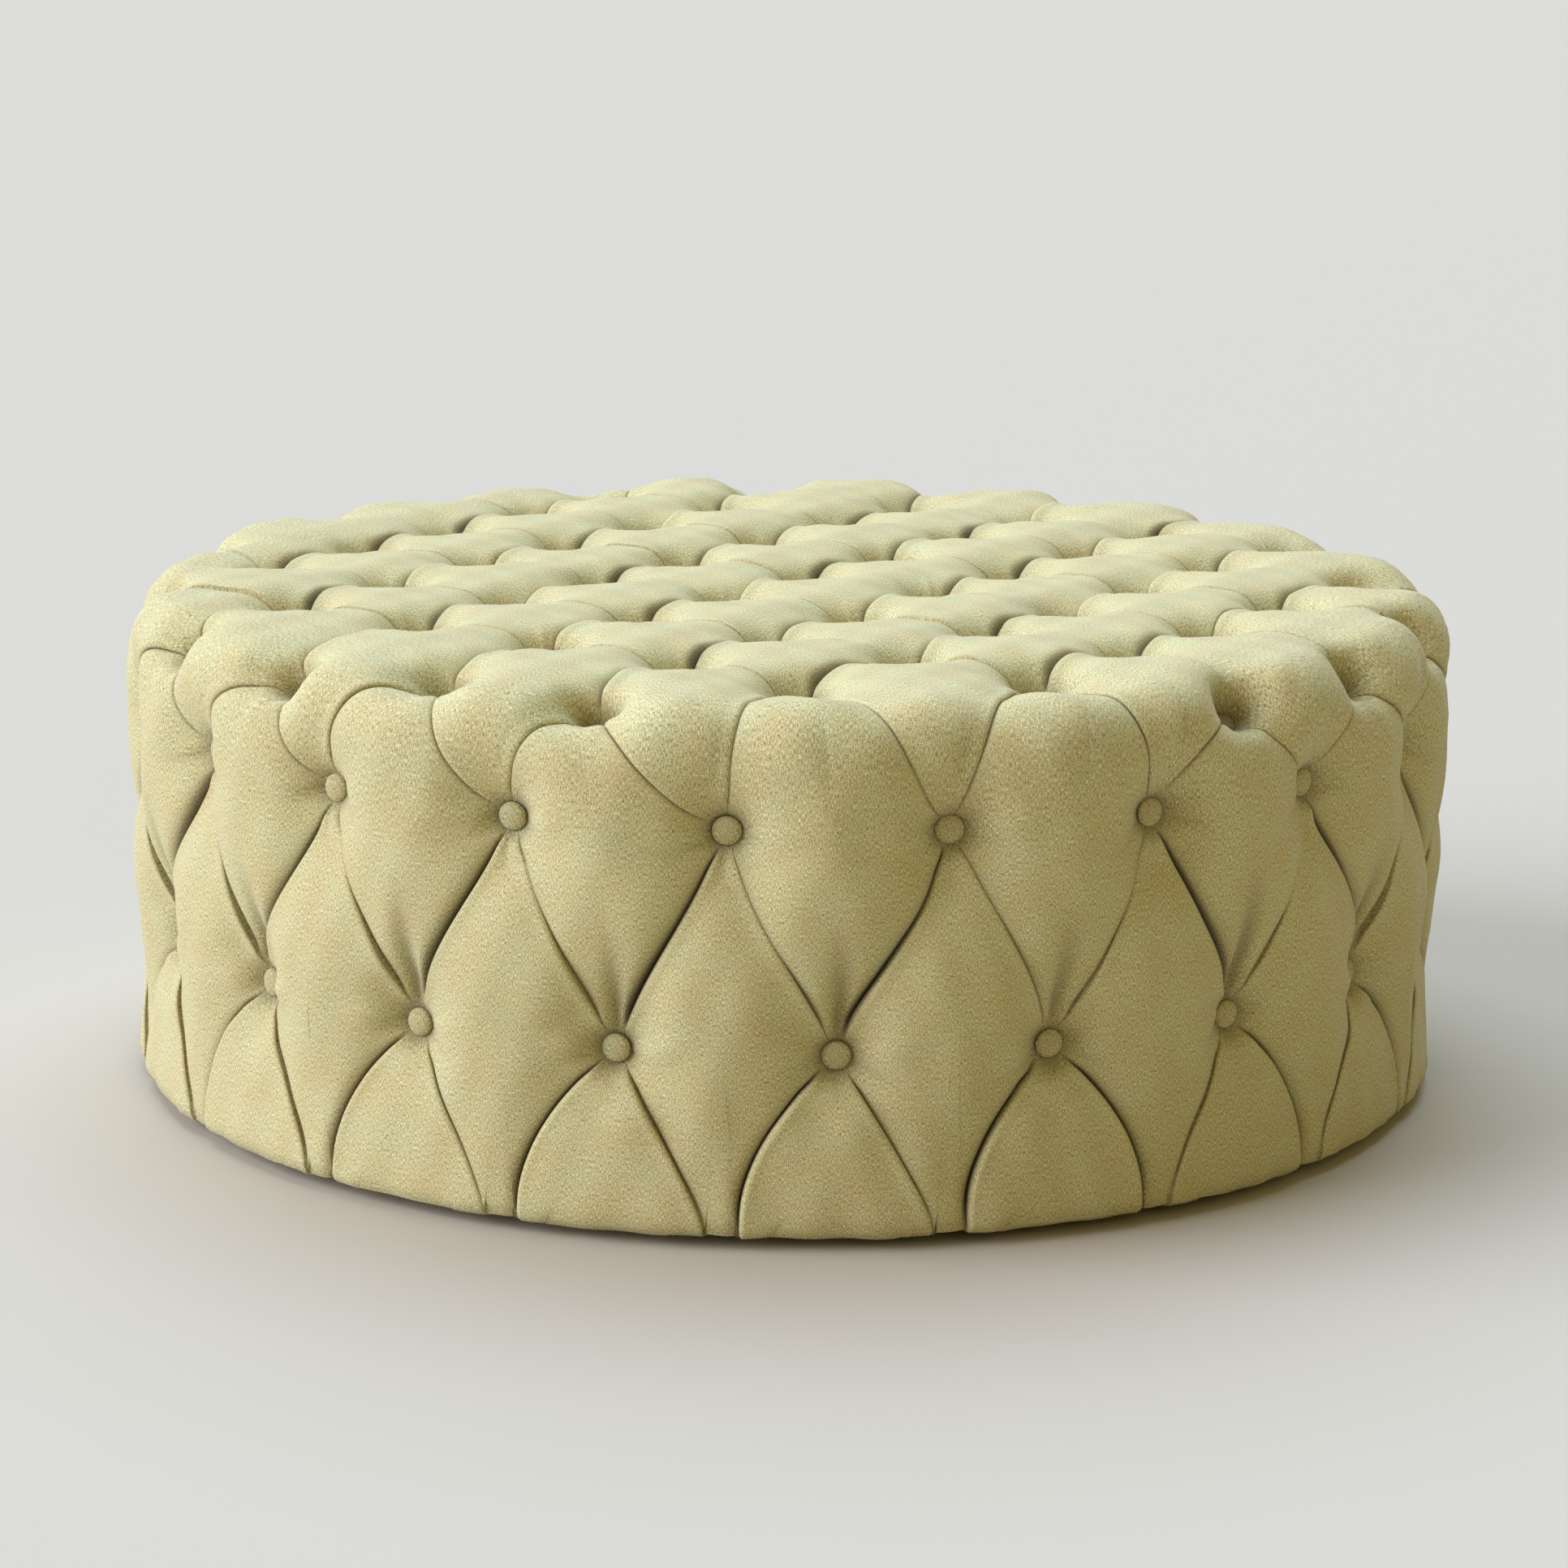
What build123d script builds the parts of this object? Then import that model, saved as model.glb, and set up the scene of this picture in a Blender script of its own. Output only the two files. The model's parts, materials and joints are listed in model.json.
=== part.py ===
from build123d import *
import os
from math import cos, hypot, pi, radians, sin, sqrt

# Round tufted ottoman coffee table: a drum of timber and board under foam, wadding and a buttoned cover.
# Millimetres, +Z up, the origin on the floor under the middle of the drum.
# The photographed side faces -Y. Turns are counted in degrees from -Y towards +X.

# Overall
drum_radius = 615.0
cover_height = 450.0
glide_height = 8.0
overrun = 40.0

# Buttons and their places
side_buttons = 20
first_button_turn = -4.85
upper_row_height = 338.0
lower_row_height = 151.0
button_radius = 12.0
button_crown = 7.0
button_rim = 2.2
button_wall = 1.0
button_back_thick = 1.2
button_shank_radius = 1.5
button_shank_length = 2.0
pocket_gap = 0.6
pocket_depth = 1.0

# Cover, its fill, and the soft layers under it
side_tuft_depth = 41.0
top_tuft_depth = 48.0
tuft_edge_radius = 40.0
least_fill = 8.0
flange_thick = 2.0
flange_width = 53.0
soft_gap = 0.3
wadding_thick = 6.0
side_foam_thick = 7.4
top_foam_thick = 24.7

# Height of the pleats and pillows over the line from tuft to tuft
top_pleat_lift = 24.0
side_pleat_lift = 19.0
top_pillow_lift = 69.0
side_pillow_lift = 60.0
hem_gap_half = 15.0
skirt_drop = 160.0
skirt_ring_radius = 450.0
skirt_ring_drop = 130.0

# Twine and its washers
twine_radius = 1.25
twine_gap = 0.45
knot_radius = 2.6
washer_radius = 7.0
washer_thick = 1.5
drill_radius = 3.0

# Frame
wall_thick = 4.0
wall_joint_gap = 1.0
fit_gap = 0.2
deck_thick = 15.0
base_thick = 18.0
base_ring_width = 108.0
upright_count = 10
upright_turn = -0.35
upright_width = 40.0
upright_depth = 30.0
joist_width = 30.0
joist_depth = 40.0
joist_reach = 470.0
bearer_width = 45.0
bearer_depth = 40.0
bearer_length = 520.0
post_width = 60.0
rail_width = 60.0

# Fasteners, dust cover and glides
screw_radius = 2.0
screw_head_radius = 4.2
screw_head_depth = 2.4
screw_bite = 35.0
screw_gap = 0.05
dust_cover_thick = 1.0
dust_cover_lap = 17.0
glide_radius = 14.0
glide_setback = 70.0
glide_nail_radius = 1.5
glide_nail_bite = 12.0
glide_crown = 2.0
staple_count = 20
staple_span = 10.0
staple_wire = 1.0
staple_bite = 8.0
cover_staple_inset = 7.0
dust_staple_inset = 26.0

# Tufts of the top: a square lattice, slightly turned, in shares of the drum's radius
lattice_start_shares = (-0.213, -0.320)
lattice_a_shares = (0.122, 0.178)
lattice_c_shares = (0.190, -0.129)
lattice_rows = {-3: (0, 3), -2: (-1, 4), -1: (-1, 5), 0: (-1, 5), 1: (-1, 5), 2: (0, 4), 3: (1, 3)}

# Tufts of the rim: lattice place, share of the drum's radius, and turn off the even ring in shares of a pitch
rim_places = [
    (-1, 2), (0, 3), (1, 4), (2, 4), (3, 4), (4, 3), (5, 2), (6, 1), (6, 0), (6, -1),
    (5, -2), (4, -3), (3, -4), (2, -4), (1, -4), (-1, -3), (-2, -2), (-2, -1), (-2, 0), (-2, 1),
]
rim_radius_shares = [
    0.745, 0.76, 0.905, 0.905, 0.905, 0.85, 0.84, 0.905, 0.90, 0.905,
    0.835, 0.835, 0.905, 0.90, 0.905, 0.905, 0.905, 0.895, 0.845, 0.87,
]
rim_turn_shares = [
    -0.17, 0.24, 0.02, -0.05, -0.04, -0.09, 0.0, 0.02, -0.04, -0.12,
    -0.04, -0.04, 0.0, -0.11, -0.04, 0.08, 0.10, 0.13, -0.05, -0.16,
]
# The lattice tufts inside each pillow of the rim, from the rim tuft before it to the one after it
rim_inner_places = [
    [(-1, 1)], [(0, 2)], [(1, 3)], [(1, 3), (2, 3)], [(2, 3), (3, 3)],
    [(3, 3)], [(4, 2)], [(5, 1)], [(5, 1), (5, 0)], [(5, 0), (5, -1)],
    [(5, -1)], [(4, -2)], [(3, -3)], [(3, -3), (2, -3)], [(2, -3), (1, -3), (0, -3)],
    [(0, -3)], [(-1, -2)], [(-1, -2), (-1, -1)], [(-1, -1), (-1, 0)], [(-1, 0), (-1, 1)],
]

# Levels and radii worked out from the sizes above
cover_bottom = glide_height + dust_cover_thick
base_bottom = cover_bottom + flange_thick
base_top = base_bottom + base_thick
tuft_level = cover_bottom + cover_height - top_tuft_depth
tuft_ring = drum_radius - side_tuft_depth
flat_radius = tuft_ring - tuft_edge_radius
lining_level = tuft_level - least_fill
lining_radius = tuft_ring - least_fill
wadding_inner_radius = lining_radius - soft_gap - wadding_thick
wadding_inner_level = lining_level - soft_gap - wadding_thick
foam_radius = wadding_inner_radius - soft_gap
foam_level = wadding_inner_level - soft_gap
deck_top = foam_level - top_foam_thick
deck_bottom = deck_top - deck_thick
wall_outer = foam_radius - side_foam_thick
wall_inner = wall_outer - wall_thick
frame_radius = wall_inner - fit_gap
base_inner = frame_radius - base_ring_width
joist_bottom = deck_bottom - joist_depth
bearer_bottom = joist_bottom - bearer_depth
flange_inner = lining_radius - flange_width
dust_cover_radius = flange_inner + dust_cover_lap
pitch = 360 / side_buttons
edge_quarter = tuft_edge_radius * pi / 2

os.makedirs("parts", exist_ok=True)


def save(name, shape):
    export_step(shape, f"parts/{name}.step")


def save_group(name, solids):
    save(name, Compound(list(solids)))


def spot(reach, turn):
    """Place on the unrolled skin: reach from the middle, at a turn from the front."""
    return (reach * sin(radians(turn)), -reach * cos(radians(turn)))


def side_reach(level):
    """Reach from the middle over the edge and down to a level on the side."""
    return flat_radius + edge_quarter + tuft_level - tuft_edge_radius - level


def frame_at(place):
    """Point and outward direction of the tuft surface at a place of the unrolled skin."""
    reach = hypot(*place)
    if reach <= flat_radius:
        return Vector(place[0], place[1], tuft_level), Vector(0, 0, 1)
    outward = Vector(place[0] / reach, place[1] / reach, 0)
    lean = min((reach - flat_radius) / tuft_edge_radius, pi / 2)
    normal = outward * sin(lean) + Vector(0, 0, 1) * cos(lean)
    middle = outward * flat_radius + Vector(0, 0, tuft_level - tuft_edge_radius)
    fall = max(reach - flat_radius - edge_quarter, 0)
    return middle + normal * tuft_edge_radius - Vector(0, 0, fall), normal


def skin_point(place, lift):
    point, normal = frame_at(place)
    return point + normal * lift


def side_share(place):
    """Nought on the flat top, one from the upper row of side buttons down."""
    way = side_reach(cover_bottom + upper_row_height) - flat_radius
    return min(max((hypot(*place) - flat_radius) / way, 0), 1)


def pleat_lift(place):
    share = side_share(place)
    return top_pleat_lift * (1 - share) + side_pleat_lift * share


def pillow_lift(place):
    share = side_share(place)
    return top_pillow_lift * (1 - share) + side_pillow_lift * share


# Tuft places
def ring_of(level, turn_share):
    return [spot(side_reach(level), first_button_turn + pitch * (n + turn_share)) for n in range(side_buttons)]


upper_tufts = ring_of(cover_bottom + upper_row_height, 0)
lower_tufts = ring_of(cover_bottom + lower_row_height, 0.5)
rim_tufts = [
    spot(drum_radius * rim_radius_shares[n], first_button_turn + pitch * (n + 0.5 + rim_turn_shares[n]))
    for n in range(side_buttons)
]


def lattice_place(i, k):
    return tuple(
        drum_radius * (start + i * along + k * across)
        for start, along, across in zip(lattice_start_shares, lattice_a_shares, lattice_c_shares)
    )


top_tufts = {
    (i, k): lattice_place(i, k) for k, (first, last) in lattice_rows.items() for i in range(first, last + 1)
}
all_top = dict(top_tufts)
all_top.update(zip(rim_places, rim_tufts))


# The tufted skin: one patch for each pillow, whose edges are the pleats
def pleat(start, end, lift_of=pleat_lift):
    """Four control points from tuft to tuft, the middle two raised."""
    points = []
    for share in (0, 1 / 3, 2 / 3, 1):
        place = tuple(a + (b - a) * share for a, b in zip(start, end))
        points.append((*place, 0 if share in (0, 1) else lift_of(place)))
    return points


def halves(curve):
    """The same curve as two, each with four control points."""
    def between(p, q):
        return tuple((a + b) / 2 for a, b in zip(p, q))

    first, second, third, last = curve
    left = between(first, second)
    top = between(second, third)
    right = between(third, last)
    left_top = between(left, top)
    right_top = between(top, right)
    middle = between(left_top, right_top)
    return [first, left, left_top, middle], [middle, right_top, right, last]


def pillow(bottom, top, left, right):
    """Patch between four pleats, its middle raised to the pillow's crown."""
    rows = []
    for j in range(4):
        v = j / 3
        row = []
        for i in range(4):
            u = i / 3
            if j == 0:
                control = bottom[i]
            elif j == 3:
                control = top[i]
            elif i == 0:
                control = left[j]
            elif i == 3:
                control = right[j]
            else:
                place = []
                for n in range(2):
                    across = (1 - v) * bottom[i][n] + v * top[i][n] + (1 - u) * left[j][n] + u * right[j][n]
                    corners = (1 - v) * ((1 - u) * bottom[0][n] + u * bottom[3][n])
                    corners += v * ((1 - u) * top[0][n] + u * top[3][n])
                    place.append(across - corners)
                control = (*place, pillow_lift(place))
            row.append(skin_point(control[:2], control[2]))
        rows.append(row)
    return Face.make_bezier_surface(rows)


def four_sided(a, b, c, d):
    return pillow(pleat(a, b), pleat(d, c), pleat(a, d), pleat(b, c))


def rim_pillows(n):
    """The pillow over the edge of the top, above the upper button n."""
    before, button, after = rim_tufts[n - 1], upper_tufts[n], rim_tufts[n]
    inner = [top_tufts[place] for place in rim_inner_places[n]]
    if len(inner) == 1:
        return [four_sided(inner[0], before, button, after)]
    if len(inner) == 2:
        near, far = halves(pleat(*inner))
        ridge = pleat(near[3][:2], button, pillow_lift)
        ridge[0] = near[3]
    else:
        near, far = pleat(inner[0], inner[1]), pleat(inner[1], inner[2])
        ridge = pleat(inner[1], button, pillow_lift)
    return [
        pillow(pleat(inner[0], before), ridge, near, pleat(before, button)),
        pillow(ridge, pleat(inner[-1], after), far, pleat(button, after)),
    ]


def tufted_form():
    hem_level = cover_bottom - lower_row_height * hem_gap_half / (drum_radius * radians(pitch / 2) - hem_gap_half)
    hem = ring_of(hem_level, 0)
    skirt = ring_of(cover_bottom - skirt_drop, 0.5)
    patches = []
    for i, k in all_top:
        corners = [(i, k), (i + 1, k), (i + 1, k + 1), (i, k + 1)]
        if all(c in all_top for c in corners) and sum(c in rim_places for c in corners) <= 1:
            patches.append(four_sided(*(all_top[c] for c in corners)))
    ring_level = cover_bottom - skirt_ring_drop
    ring_points = []
    for n in range(side_buttons):
        after = (n + 1) % side_buttons
        patches += rim_pillows(n)
        patches.append(four_sided(rim_tufts[n], upper_tufts[n], lower_tufts[n], upper_tufts[after]))
        patches.append(four_sided(upper_tufts[after], lower_tufts[n], hem[after], lower_tufts[after]))
        patches.append(four_sided(lower_tufts[n], hem[n], skirt[n], hem[after]))
        for share in (0, 0.5):
            x, y = spot(skirt_ring_radius, first_button_turn + pitch * (n + share))
            ring_points.append(Vector(x, y, ring_level))
    # Below the hem the skin is closed, and the cut along the hem takes that off
    ring_points.append(ring_points[0])
    for n in range(side_buttons):
        after = (n + 1) % side_buttons
        for step, ends in enumerate(((hem[n], skirt[n]), (skirt[n], hem[after]))):
            p, q = ring_points[2 * n + step], ring_points[2 * n + step + 1]
            edge = [skin_point(control[:2], control[2]) for control in pleat(*ends)]
            patches.append(Face.make_bezier_surface([edge, [p + (q - p) * t for t in (0, 1 / 3, 2 / 3, 1)]]))
    lines = [Edge.make_line(p, q) for p, q in zip(ring_points, ring_points[1:])]
    patches.append(Face(Wire(lines)))
    return Solid(Shell(patches))


def turned(*pieces):
    """Solid of revolution about Z from a closed outline of lines and arcs in X and Z."""
    outline = Face(Wire(list(pieces)))
    return revolve(outline, Axis.Z)


def line(*points):
    spots = [(x, 0, z) for x, z in points]
    return [Edge.make_line(a, b) for a, b in zip(spots, spots[1:])]


def domed_drum(radius, level, bottom, edge_radius):
    """Drum with a rounded top edge, from bottom to level."""
    corner = radius - edge_radius
    shoulder = level - edge_radius
    half = edge_radius / sqrt(2)
    round_edge = Edge.make_three_point_arc(
        (radius, 0, shoulder), (corner + half, 0, shoulder + half), (corner, 0, level)
    )
    return turned(*line((0, level), (0, bottom), (radius, bottom), (radius, shoulder)), round_edge,
                  *line((corner, level), (0, level)))


def disc(radius, bottom, top):
    return Pos(0, 0, bottom) * Cylinder(radius, top - bottom, align=(Align.CENTER, Align.CENTER, Align.MIN))


def peg(start, end, radius):
    """Cylinder from one point to another."""
    way = Vector(end) - Vector(start)
    solid = Cylinder(radius, way.length, align=(Align.CENTER, Align.CENTER, Align.MIN))
    return Plane(origin=start, z_dir=way).location * solid


def turned_place(radius, turn, level):
    """Location at a radius and turn, its X pointing outward and its Z up."""
    x, y = spot(radius, turn)
    return Pos(x, y, level) * Rot(0, 0, turn - 90)


# Twine lines, from the seat of a button to its washer
def top_twine_line(place):
    """Points from the seat down to the deck's upper face, and on to its lower face."""
    point, normal = frame_at(place)
    seat = point - normal * pocket_depth
    entry = seat - normal * ((seat.Z - deck_top) / normal.Z)
    return seat, normal, entry, Vector(entry.X, entry.Y, deck_bottom)


def side_twine_line(place):
    point, normal = frame_at(place)
    seat = point - normal * pocket_depth
    return seat, normal, seat - normal * (tuft_ring - pocket_depth - wall_inner)


top_places = list(top_tufts.values())
deck_places = top_places + rim_tufts
wall_places = upper_tufts + lower_tufts
knot_drop = washer_thick + knot_radius + soft_gap


def twine_start(seat, normal):
    return seat - normal * (button_shank_length - soft_gap)


def twine_tools(radius):
    """Clear holes for every length of twine through the soft layers."""
    tools = []
    for place in deck_places:
        seat, normal, entry, exit_point = top_twine_line(place)
        tools.append(peg(seat + normal * pocket_depth, entry - normal * deck_thick, radius))
    for place in wall_places:
        seat, normal, exit_point = side_twine_line(place)
        tools.append(peg(seat + normal * pocket_depth, exit_point, radius))
    return tools


def make_cover():
    form = tufted_form()
    floor_cut = disc(drum_radius + skirt_drop, cover_bottom - skirt_drop - overrun, cover_bottom)
    lining_edge = tuft_edge_radius - least_fill
    lining = domed_drum(lining_radius, lining_level, base_bottom, lining_edge)
    mouth = disc(flange_inner, cover_bottom - overrun, base_bottom + flange_thick)
    pockets = []
    for place in deck_places + wall_places:
        point, normal = frame_at(place)
        seat = point - normal * pocket_depth
        pockets.append(peg(seat, seat + normal * (top_tuft_depth + overrun), button_radius + pocket_gap))
        pockets.append(peg(seat - normal * (least_fill * 2), seat, twine_radius + twine_gap))
    legs = leg_tools(cover_staple_places()) + leg_tools(dust_staple_places())
    return form - [floor_cut, lining, mouth, *pockets, *legs]


# Staples lie round the bottom, their legs through the cloth and into the base ring
def cover_staple_places():
    radius = frame_radius - cover_staple_inset
    return [turned_place(radius, pitch * n, cover_bottom) for n in range(staple_count)]


def dust_staple_places():
    radius = frame_radius - dust_staple_inset
    return [turned_place(radius, pitch * (n + 0.5), glide_height) for n in range(staple_count)]


def staple_height(place):
    return base_bottom - place.position.Z + staple_bite


def leg_tools(places):
    tools = []
    for place in places:
        tall = staple_height(place)
        for side in (-1, 1):
            leg = Box(staple_wire + screw_gap, staple_wire + screw_gap, tall + screw_gap,
                      align=(Align.CENTER, Align.CENTER, Align.MIN))
            tools.append(place * Pos(0, side * (staple_span - staple_wire) / 2, 0) * leg)
    return tools


def staples(places):
    made = []
    for place in places:
        crown = Pos(0, 0, -staple_wire / 2) * Box(staple_wire, staple_span, staple_wire)
        shape = crown
        for side in (-1, 1):
            leg = Box(staple_wire, staple_wire, staple_height(place), align=(Align.CENTER, Align.CENTER, Align.MIN))
            shape += Pos(0, side * (staple_span - staple_wire) / 2, 0) * leg
        made.append(place * shape)
    return made


# Soft layers
def make_wadding(tools):
    edge = tuft_edge_radius - least_fill - soft_gap
    outer = domed_drum(lining_radius - soft_gap, lining_level - soft_gap, base_bottom, edge)
    inner = domed_drum(wadding_inner_radius, wadding_inner_level, base_bottom - overrun, edge - wadding_thick)
    return outer - inner - tools


def make_top_foam(tools):
    edge = tuft_edge_radius - least_fill - 2 * soft_gap - wadding_thick
    slab = domed_drum(foam_radius, foam_level, deck_top - edge, edge)
    return slab - disc(drum_radius, deck_top - edge - overrun, deck_top) - tools


def make_side_foam(tools):
    band = disc(foam_radius, base_bottom, deck_top - soft_gap) - disc(wall_outer, base_bottom - overrun, deck_top)
    return band - tools


# Frame
def make_deck():
    board = disc(frame_radius, deck_bottom, deck_top)
    holes = []
    for place in deck_places:
        entry, exit_point = top_twine_line(place)[2:]
        holes.append(peg(entry + Vector(0, 0, overrun), exit_point - Vector(0, 0, overrun), drill_radius))
    return board - holes - deck_screw_solids(screw_gap)


def make_walls():
    """The bent board round the frame, in two lengths that meet on uprights."""
    band = disc(wall_outer, base_bottom, deck_top) - disc(wall_inner, base_bottom - overrun, deck_top + overrun)
    holes = []
    for place in wall_places:
        seat, normal, exit_point = side_twine_line(place)
        holes.append(peg(exit_point + normal * overrun, exit_point - normal * overrun, drill_radius))
    joint_turn = upright_turn + 2 * 360 / upright_count
    joint = Rot(0, 0, joint_turn - 90) * Box(3 * drum_radius, wall_joint_gap, 3 * cover_height)
    pieces = (band - joint - holes).solids()
    return sorted(pieces, key=lambda piece: piece.center().Y)


def uprights():
    face = sqrt(frame_radius**2 - (upright_width / 2) ** 2)
    post = Box(upright_depth, upright_width, deck_bottom - base_top, align=(Align.MAX, Align.CENTER, Align.MIN))
    screws = deck_screw_solids(screw_gap) + base_screw_solids(screw_gap)
    made = []
    for n in range(upright_count):
        turn = upright_turn + n * 360 / upright_count
        near = [screws[n], screws[-upright_count + n]]
        made.append(turned_place(face, turn, base_top) * post - near)
    return made


def make_base_ring():
    ring = disc(frame_radius, base_bottom, base_top) - disc(base_inner, base_bottom - overrun, base_top + overrun)
    legs = leg_tools(cover_staple_places()) + leg_tools(dust_staple_places())
    return ring - legs - base_screw_solids(screw_gap) - glide_nails(screw_gap)


def joist_offsets():
    """Joists lie midway between the rows of tufts, and their washers stay clear."""
    row_x, row_y = lattice_c_shares
    gap = hypot(row_x, row_y)
    first = (lattice_start_shares[0] * row_x + lattice_start_shares[1] * row_y) / gap
    return [drum_radius * (first + gap * (row + 0.5)) for row in (-2, -1, 0, 1)]


joist_turn = Vector(lattice_a_shares[0], lattice_a_shares[1], 0)
joist_frame = Plane(origin=(0, 0, 0), x_dir=joist_turn, z_dir=(0, 0, 1))


def joist_places():
    """Each joist's offset across the rows and half its length."""
    made = []
    for offset in joist_offsets():
        half = sqrt(joist_reach**2 - (abs(offset) + joist_width / 2) ** 2)
        made.append((-offset, half))
    return made


def joists():
    screws = deck_screw_solids(screw_gap)[upright_count:]
    made = []
    for offset, half in joist_places():
        beam = Box(2 * half, joist_width, joist_depth, align=(Align.CENTER, Align.CENTER, Align.MIN))
        made.append(joist_frame.location * Pos(0, offset, joist_bottom) * beam - screws)
    return made


def make_bearer():
    beam = Box(bearer_width, bearer_length, bearer_depth, align=(Align.CENTER, Align.CENTER, Align.MIN))
    return joist_frame.location * Pos(0, 0, bearer_bottom) * beam


def make_post():
    post = Box(post_width, post_width, bearer_bottom - base_top, align=(Align.CENTER, Align.CENTER, Align.MIN))
    return joist_frame.location * Pos(0, 0, base_top) * post


def base_rails():
    reach = sqrt((base_inner - fit_gap) ** 2 - (rail_width / 2) ** 2)
    long_rail = Box(2 * reach, rail_width, base_thick, align=(Align.CENTER, Align.CENTER, Align.MIN))
    short_length = reach - rail_width / 2
    short_rail = Box(rail_width, short_length, base_thick, align=(Align.CENTER, Align.MIN, Align.MIN))
    here = joist_frame.location * Pos(0, 0, base_bottom)
    return {
        "base_rail_long": here * long_rail,
        "base_rail_front": here * Pos(0, -rail_width / 2 - short_length, 0) * short_rail,
        "base_rail_back": here * Pos(0, rail_width / 2, 0) * short_rail,
    }


# Screws, glides and dust cover
def screw(gap):
    """Countersunk screw, its head at nought and its shank downward."""
    head = screw_head_radius + gap
    shank = screw_radius + gap
    length = screw_bite + gap
    return turned(*line((0, 0), (0, -length), (shank, -length), (shank, -screw_head_depth), (head, 0), (0, 0)))


def deck_screw_solids(gap):
    """One screw into each upright, then three into each joist."""
    body = screw(gap)
    middle = frame_radius - upright_depth / 2
    made = [turned_place(middle, upright_turn + n * 360 / upright_count, deck_top) * body
            for n in range(upright_count)]
    for offset, half in joist_places():
        for share in (-0.8, 0, 0.8):
            made.append(joist_frame.location * Pos(half * share, offset, deck_top) * body)
    return made


def base_screw_solids(gap):
    body = Rot(180, 0, 0) * screw(gap)
    middle = frame_radius - upright_depth / 2
    return [turned_place(middle, upright_turn + n * 360 / upright_count, base_bottom) * body
            for n in range(upright_count)]


def glide_places():
    radius = frame_radius - glide_setback
    return [turned_place(radius, upright_turn + n * 360 / upright_count, 0) for n in range(upright_count)]


def glide_nails(gap):
    tall = base_bottom + glide_nail_bite + gap - glide_height
    nail = Cylinder(glide_nail_radius + gap, tall, align=(Align.CENTER, Align.CENTER, Align.MIN))
    return [place * Pos(0, 0, glide_height) * nail for place in glide_places()]


def glides():
    foot_radius = glide_radius - glide_crown
    foot = turned(*line((0, 0), (foot_radius, 0), (glide_radius, glide_crown), (glide_radius, glide_height),
                        (0, glide_height), (0, 0)))
    tall = base_bottom + glide_nail_bite
    nail = Cylinder(glide_nail_radius, tall - glide_crown, align=(Align.CENTER, Align.CENTER, Align.MIN))
    body = foot + Pos(0, 0, glide_crown) * nail
    return [place * body for place in glide_places()]


def make_dust_cover():
    sheet = disc(dust_cover_radius, glide_height, cover_bottom)
    return sheet - glide_nails(screw_gap) - leg_tools(dust_staple_places())


# Buttons: a cloth-covered dome pressed over a back with a shank
def dome(radius, crown, rim):
    rise = crown - rim
    sphere = (radius**2 + rise**2) / (2 * rise)
    half = radius / 2
    over = crown - sphere + sqrt(sphere**2 - half**2)
    arc = Edge.make_three_point_arc((radius, 0, rim), (half, 0, over), (0, 0, crown))
    return turned(*line((0, crown), (0, 0), (radius, 0), (radius, rim)), arc)


def button_cap():
    hollow = dome(button_radius - button_wall, button_crown - button_wall, button_rim)
    return dome(button_radius, button_crown, button_rim) - hollow


def button_back():
    plate_radius = button_radius - button_wall - fit_gap
    plate = Cylinder(plate_radius, button_back_thick, align=(Align.CENTER, Align.CENTER, Align.MIN))
    shank = Cylinder(button_shank_radius, button_shank_length, align=(Align.CENTER, Align.CENTER, Align.MAX))
    return plate + shank


def on_tufts(body, places):
    made = []
    for place in places:
        point, normal = frame_at(place)
        seat = point - normal * (pocket_depth - soft_gap)
        made.append(Plane(origin=seat, z_dir=normal).location * body)
    return made


# Twine and washers
def top_twines():
    made = []
    for place in deck_places:
        seat, normal, entry, exit_point = top_twine_line(place)
        knot = exit_point - Vector(0, 0, knot_drop)
        strand = peg(entry, knot, twine_radius) + peg(twine_start(seat, normal), entry, twine_radius)
        if normal.Z < 1:
            strand += Pos(*entry) * Sphere(twine_radius)
        made.append(strand + Pos(*knot) * Sphere(knot_radius))
    return made


def side_twines():
    made = []
    for place in wall_places:
        seat, normal, exit_point = side_twine_line(place)
        knot = exit_point - normal * knot_drop
        made.append(peg(twine_start(seat, normal), knot, twine_radius) + Pos(*knot) * Sphere(knot_radius))
    return made


def washer():
    ring = Cylinder(washer_radius, washer_thick, align=(Align.CENTER, Align.CENTER, Align.MAX))
    return ring - Cylinder(twine_radius + twine_gap, 4 * washer_thick)


def deck_washers():
    return [Pos(*top_twine_line(place)[3]) * washer() for place in deck_places]


def wall_washers():
    sink = wall_inner - sqrt(wall_inner**2 - washer_radius**2)
    made = []
    for place in wall_places:
        seat, normal, exit_point = side_twine_line(place)
        made.append(Plane(origin=exit_point - normal * sink, z_dir=normal).location * washer())
    return made


soft_tools = twine_tools(twine_radius + twine_gap)
save("tufted_cover", make_cover())
save("fibre_wadding", make_wadding(soft_tools))
save("top_foam", make_top_foam(soft_tools))
save("side_foam", make_side_foam(soft_tools))
save("deck_board", make_deck())
for name, wall in zip(("side_wall_front", "side_wall_back"), make_walls()):
    save(name, wall)
save("base_ring", make_base_ring())
for name, rail in base_rails().items():
    save(name, rail)
save("centre_post", make_post())
save("deck_bearer", make_bearer())
for n, joist in enumerate(joists(), 1):
    save(f"deck_joist_{n}", joist)
for n, upright in enumerate(uprights(), 1):
    save(f"upright_{n:02d}", upright)
for name, places in (
    ("top", top_places), ("rim", rim_tufts), ("side_upper", upper_tufts), ("side_lower", lower_tufts)
):
    save_group(f"button_caps_{name}", on_tufts(button_cap(), places))
    save_group(f"button_backs_{name}", on_tufts(button_back(), places))
save_group("tufting_twine_top", top_twines())
save_group("tufting_twine_side", side_twines())
save_group("twine_washers_deck", deck_washers())
save_group("twine_washers_wall", wall_washers())
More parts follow.
